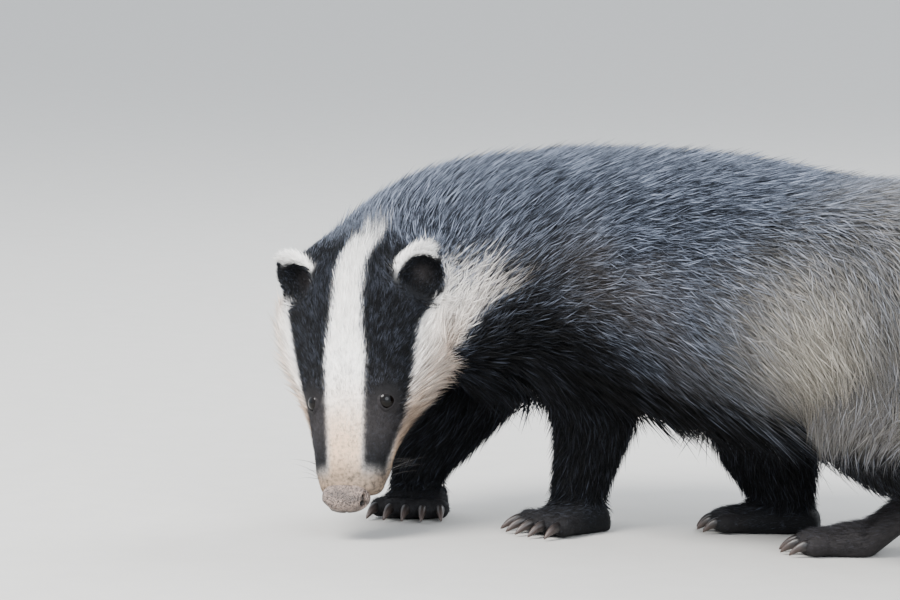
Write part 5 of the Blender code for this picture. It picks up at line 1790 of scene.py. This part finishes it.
def claw_material():
    """Streaked horn, dark at the root."""
    material, wire = start_material("claw_horn")
    streak = wire.pattern("Noise", Scale=300.0, Detail=5.0, Distortion=0.6)
    worn = (wire.mark("along") + (streak - 0.5) * 0.5).rise(0.15, 1.0)
    shade = worn.mix(colour(20, 17, 17), colour(66, 54, 49))
    rough, relief = 0.30 + streak * 0.25, streak.bump(0.35, 0.0003)
    finish_material(wire, Base_Color=shade, Roughness=rough, Normal=relief)
    return material


horn = claw_material()
for paw in PAWS:
    for toe in range(TOES):
        start, way = toe_start(paw, toe)
        length = PAWS[paw][5]
        root = start + way * TOE_LENGTH * CLAW_START + UP * CLAW_LEVEL
        drop = root[2] - CLAW_CLEARANCE
        steps = np.linspace(-0.25, 1.0, CLAW_RINGS)
        fall = (drop * np.sign(steps) * steps**2)[:, None]
        path = root + way * (length * steps)[:, None] - UP * fall
        radii = CLAW_RADIUS * np.interp(steps, (-0.25, 0.25, 0.62, 0.9, 1.0), (0.9, 0.9, 0.62, 0.30, 0.08))
        rings = tube(path, radii, np.cross(UP, way), CLAW_SIDES, 1.15)
        claw = surface_piece(f"claw_{paw}_{toe + 1}", rings, horn, "paw")
        keep_values(claw.data, "along", np.repeat(np.clip(steps, 0, 1), CLAW_SIDES))
print("claws:", len(PAWS) * TOES)

# %% [markdown]
# ## Studio
#
# The animal stands on a plain pale floor. One large soft light from the front left models its
# forms, a weaker one fills the shadows, and a third from behind draws an edge along the hair.

# %% Floor and light
FLOOR_HALF = 60
SKY_COLOUR, SKY_STRENGTH = (0.86, 0.92, 1.0, 1.0), 1.75
LIGHT_AIM = Vector((0, 0, 0.12))
# Each entry: place, width in metres, watts, shade.
LIGHTS = {
    "key": ((-1.2, -1.6, 2.6), 1.8, 225.0, (1.0, 0.98, 0.95)),
    "fill": ((1.8, -2.2, 1.4), 2.2, 76.0, (0.92, 0.96, 1.0)),
    "rim": ((0.6, 2.0, 2.0), 1.4, 84.0, (0.95, 0.98, 1.0)),
}


def floor_material():
    """A pale matt floor with the faintest grain."""
    material, wire = start_material("studio_floor")
    grain = wire.pattern("Noise", Scale=40.0, Detail=6.0)
    shade = grain.mix(colour(176, 174, 170), colour(186, 184, 180))
    finish_material(wire, Base_Color=shade, Roughness=0.8 + grain * 0.1)
    return material


def soft_light(name, place, width, watts, shade):
    """A round area light that faces the middle of the animal."""
    lamp = bpy.data.lights.new(name, "AREA")
    lamp.shape = "DISK"
    lamp.size = width
    lamp.energy = watts
    lamp.color = shade
    made = bpy.data.objects.new(name, lamp)
    made.location = place
    made.rotation_euler = (LIGHT_AIM - Vector(place)).to_track_quat("-Z", "Y").to_euler()
    bpy.context.scene.collection.objects.link(made)


floor_corners = np.array(((-1, -1, 0), (1, -1, 0), (1, 1, 0), (-1, 1, 0))) * FLOOR_HALF
floor = mesh_of("floor", floor_corners + CENTRE, [(0, 1, 2, 3)])
floor.data.materials.append(floor_material())
world = bpy.data.worlds.new("studio")
world.use_nodes = True
sky = world.node_tree.nodes["Background"].inputs
sky["Color"].default_value = SKY_COLOUR
sky["Strength"].default_value = SKY_STRENGTH
bpy.context.scene.world = world
for name, entry in LIGHTS.items():
    soft_light(name, *entry)
print("lights:", ", ".join(LIGHTS))

# %% [markdown]
# The camera stands low and a little to the animal's left, as the photo's did. A long lens from
# some metres away keeps head and rump in proportion.

# %% Camera
TARGET = np.array((0.0, 0.0, 0.150)) - CENTRE
CAMERA_AZIMUTH, CAMERA_ELEVATION = math.radians(20.0), math.radians(6.0)
CAMERA_DISTANCE, CAMERA_LENS, SENSOR_WIDTH = 3.0, 186.0, 36.0

sine, cosine = math.sin(CAMERA_AZIMUTH), math.cos(CAMERA_AZIMUTH)
level = math.cos(CAMERA_ELEVATION)
away = np.array((sine * level, -cosine * level, math.sin(CAMERA_ELEVATION)))
lens = bpy.data.cameras.new("camera")
lens.lens = CAMERA_LENS
lens.sensor_width = SENSOR_WIDTH
camera = bpy.data.objects.new("camera", lens)
camera.location = TARGET + away * CAMERA_DISTANCE
camera.rotation_euler = Vector(-away).to_track_quat("-Z", "Y").to_euler()
bpy.context.scene.collection.objects.link(camera)
bpy.context.scene.camera = camera
print("camera", CAMERA_DISTANCE, "m away")

# %% [markdown]
# Last, the view layer is brought up to date.

# %% Finish
bpy.context.view_layer.update()
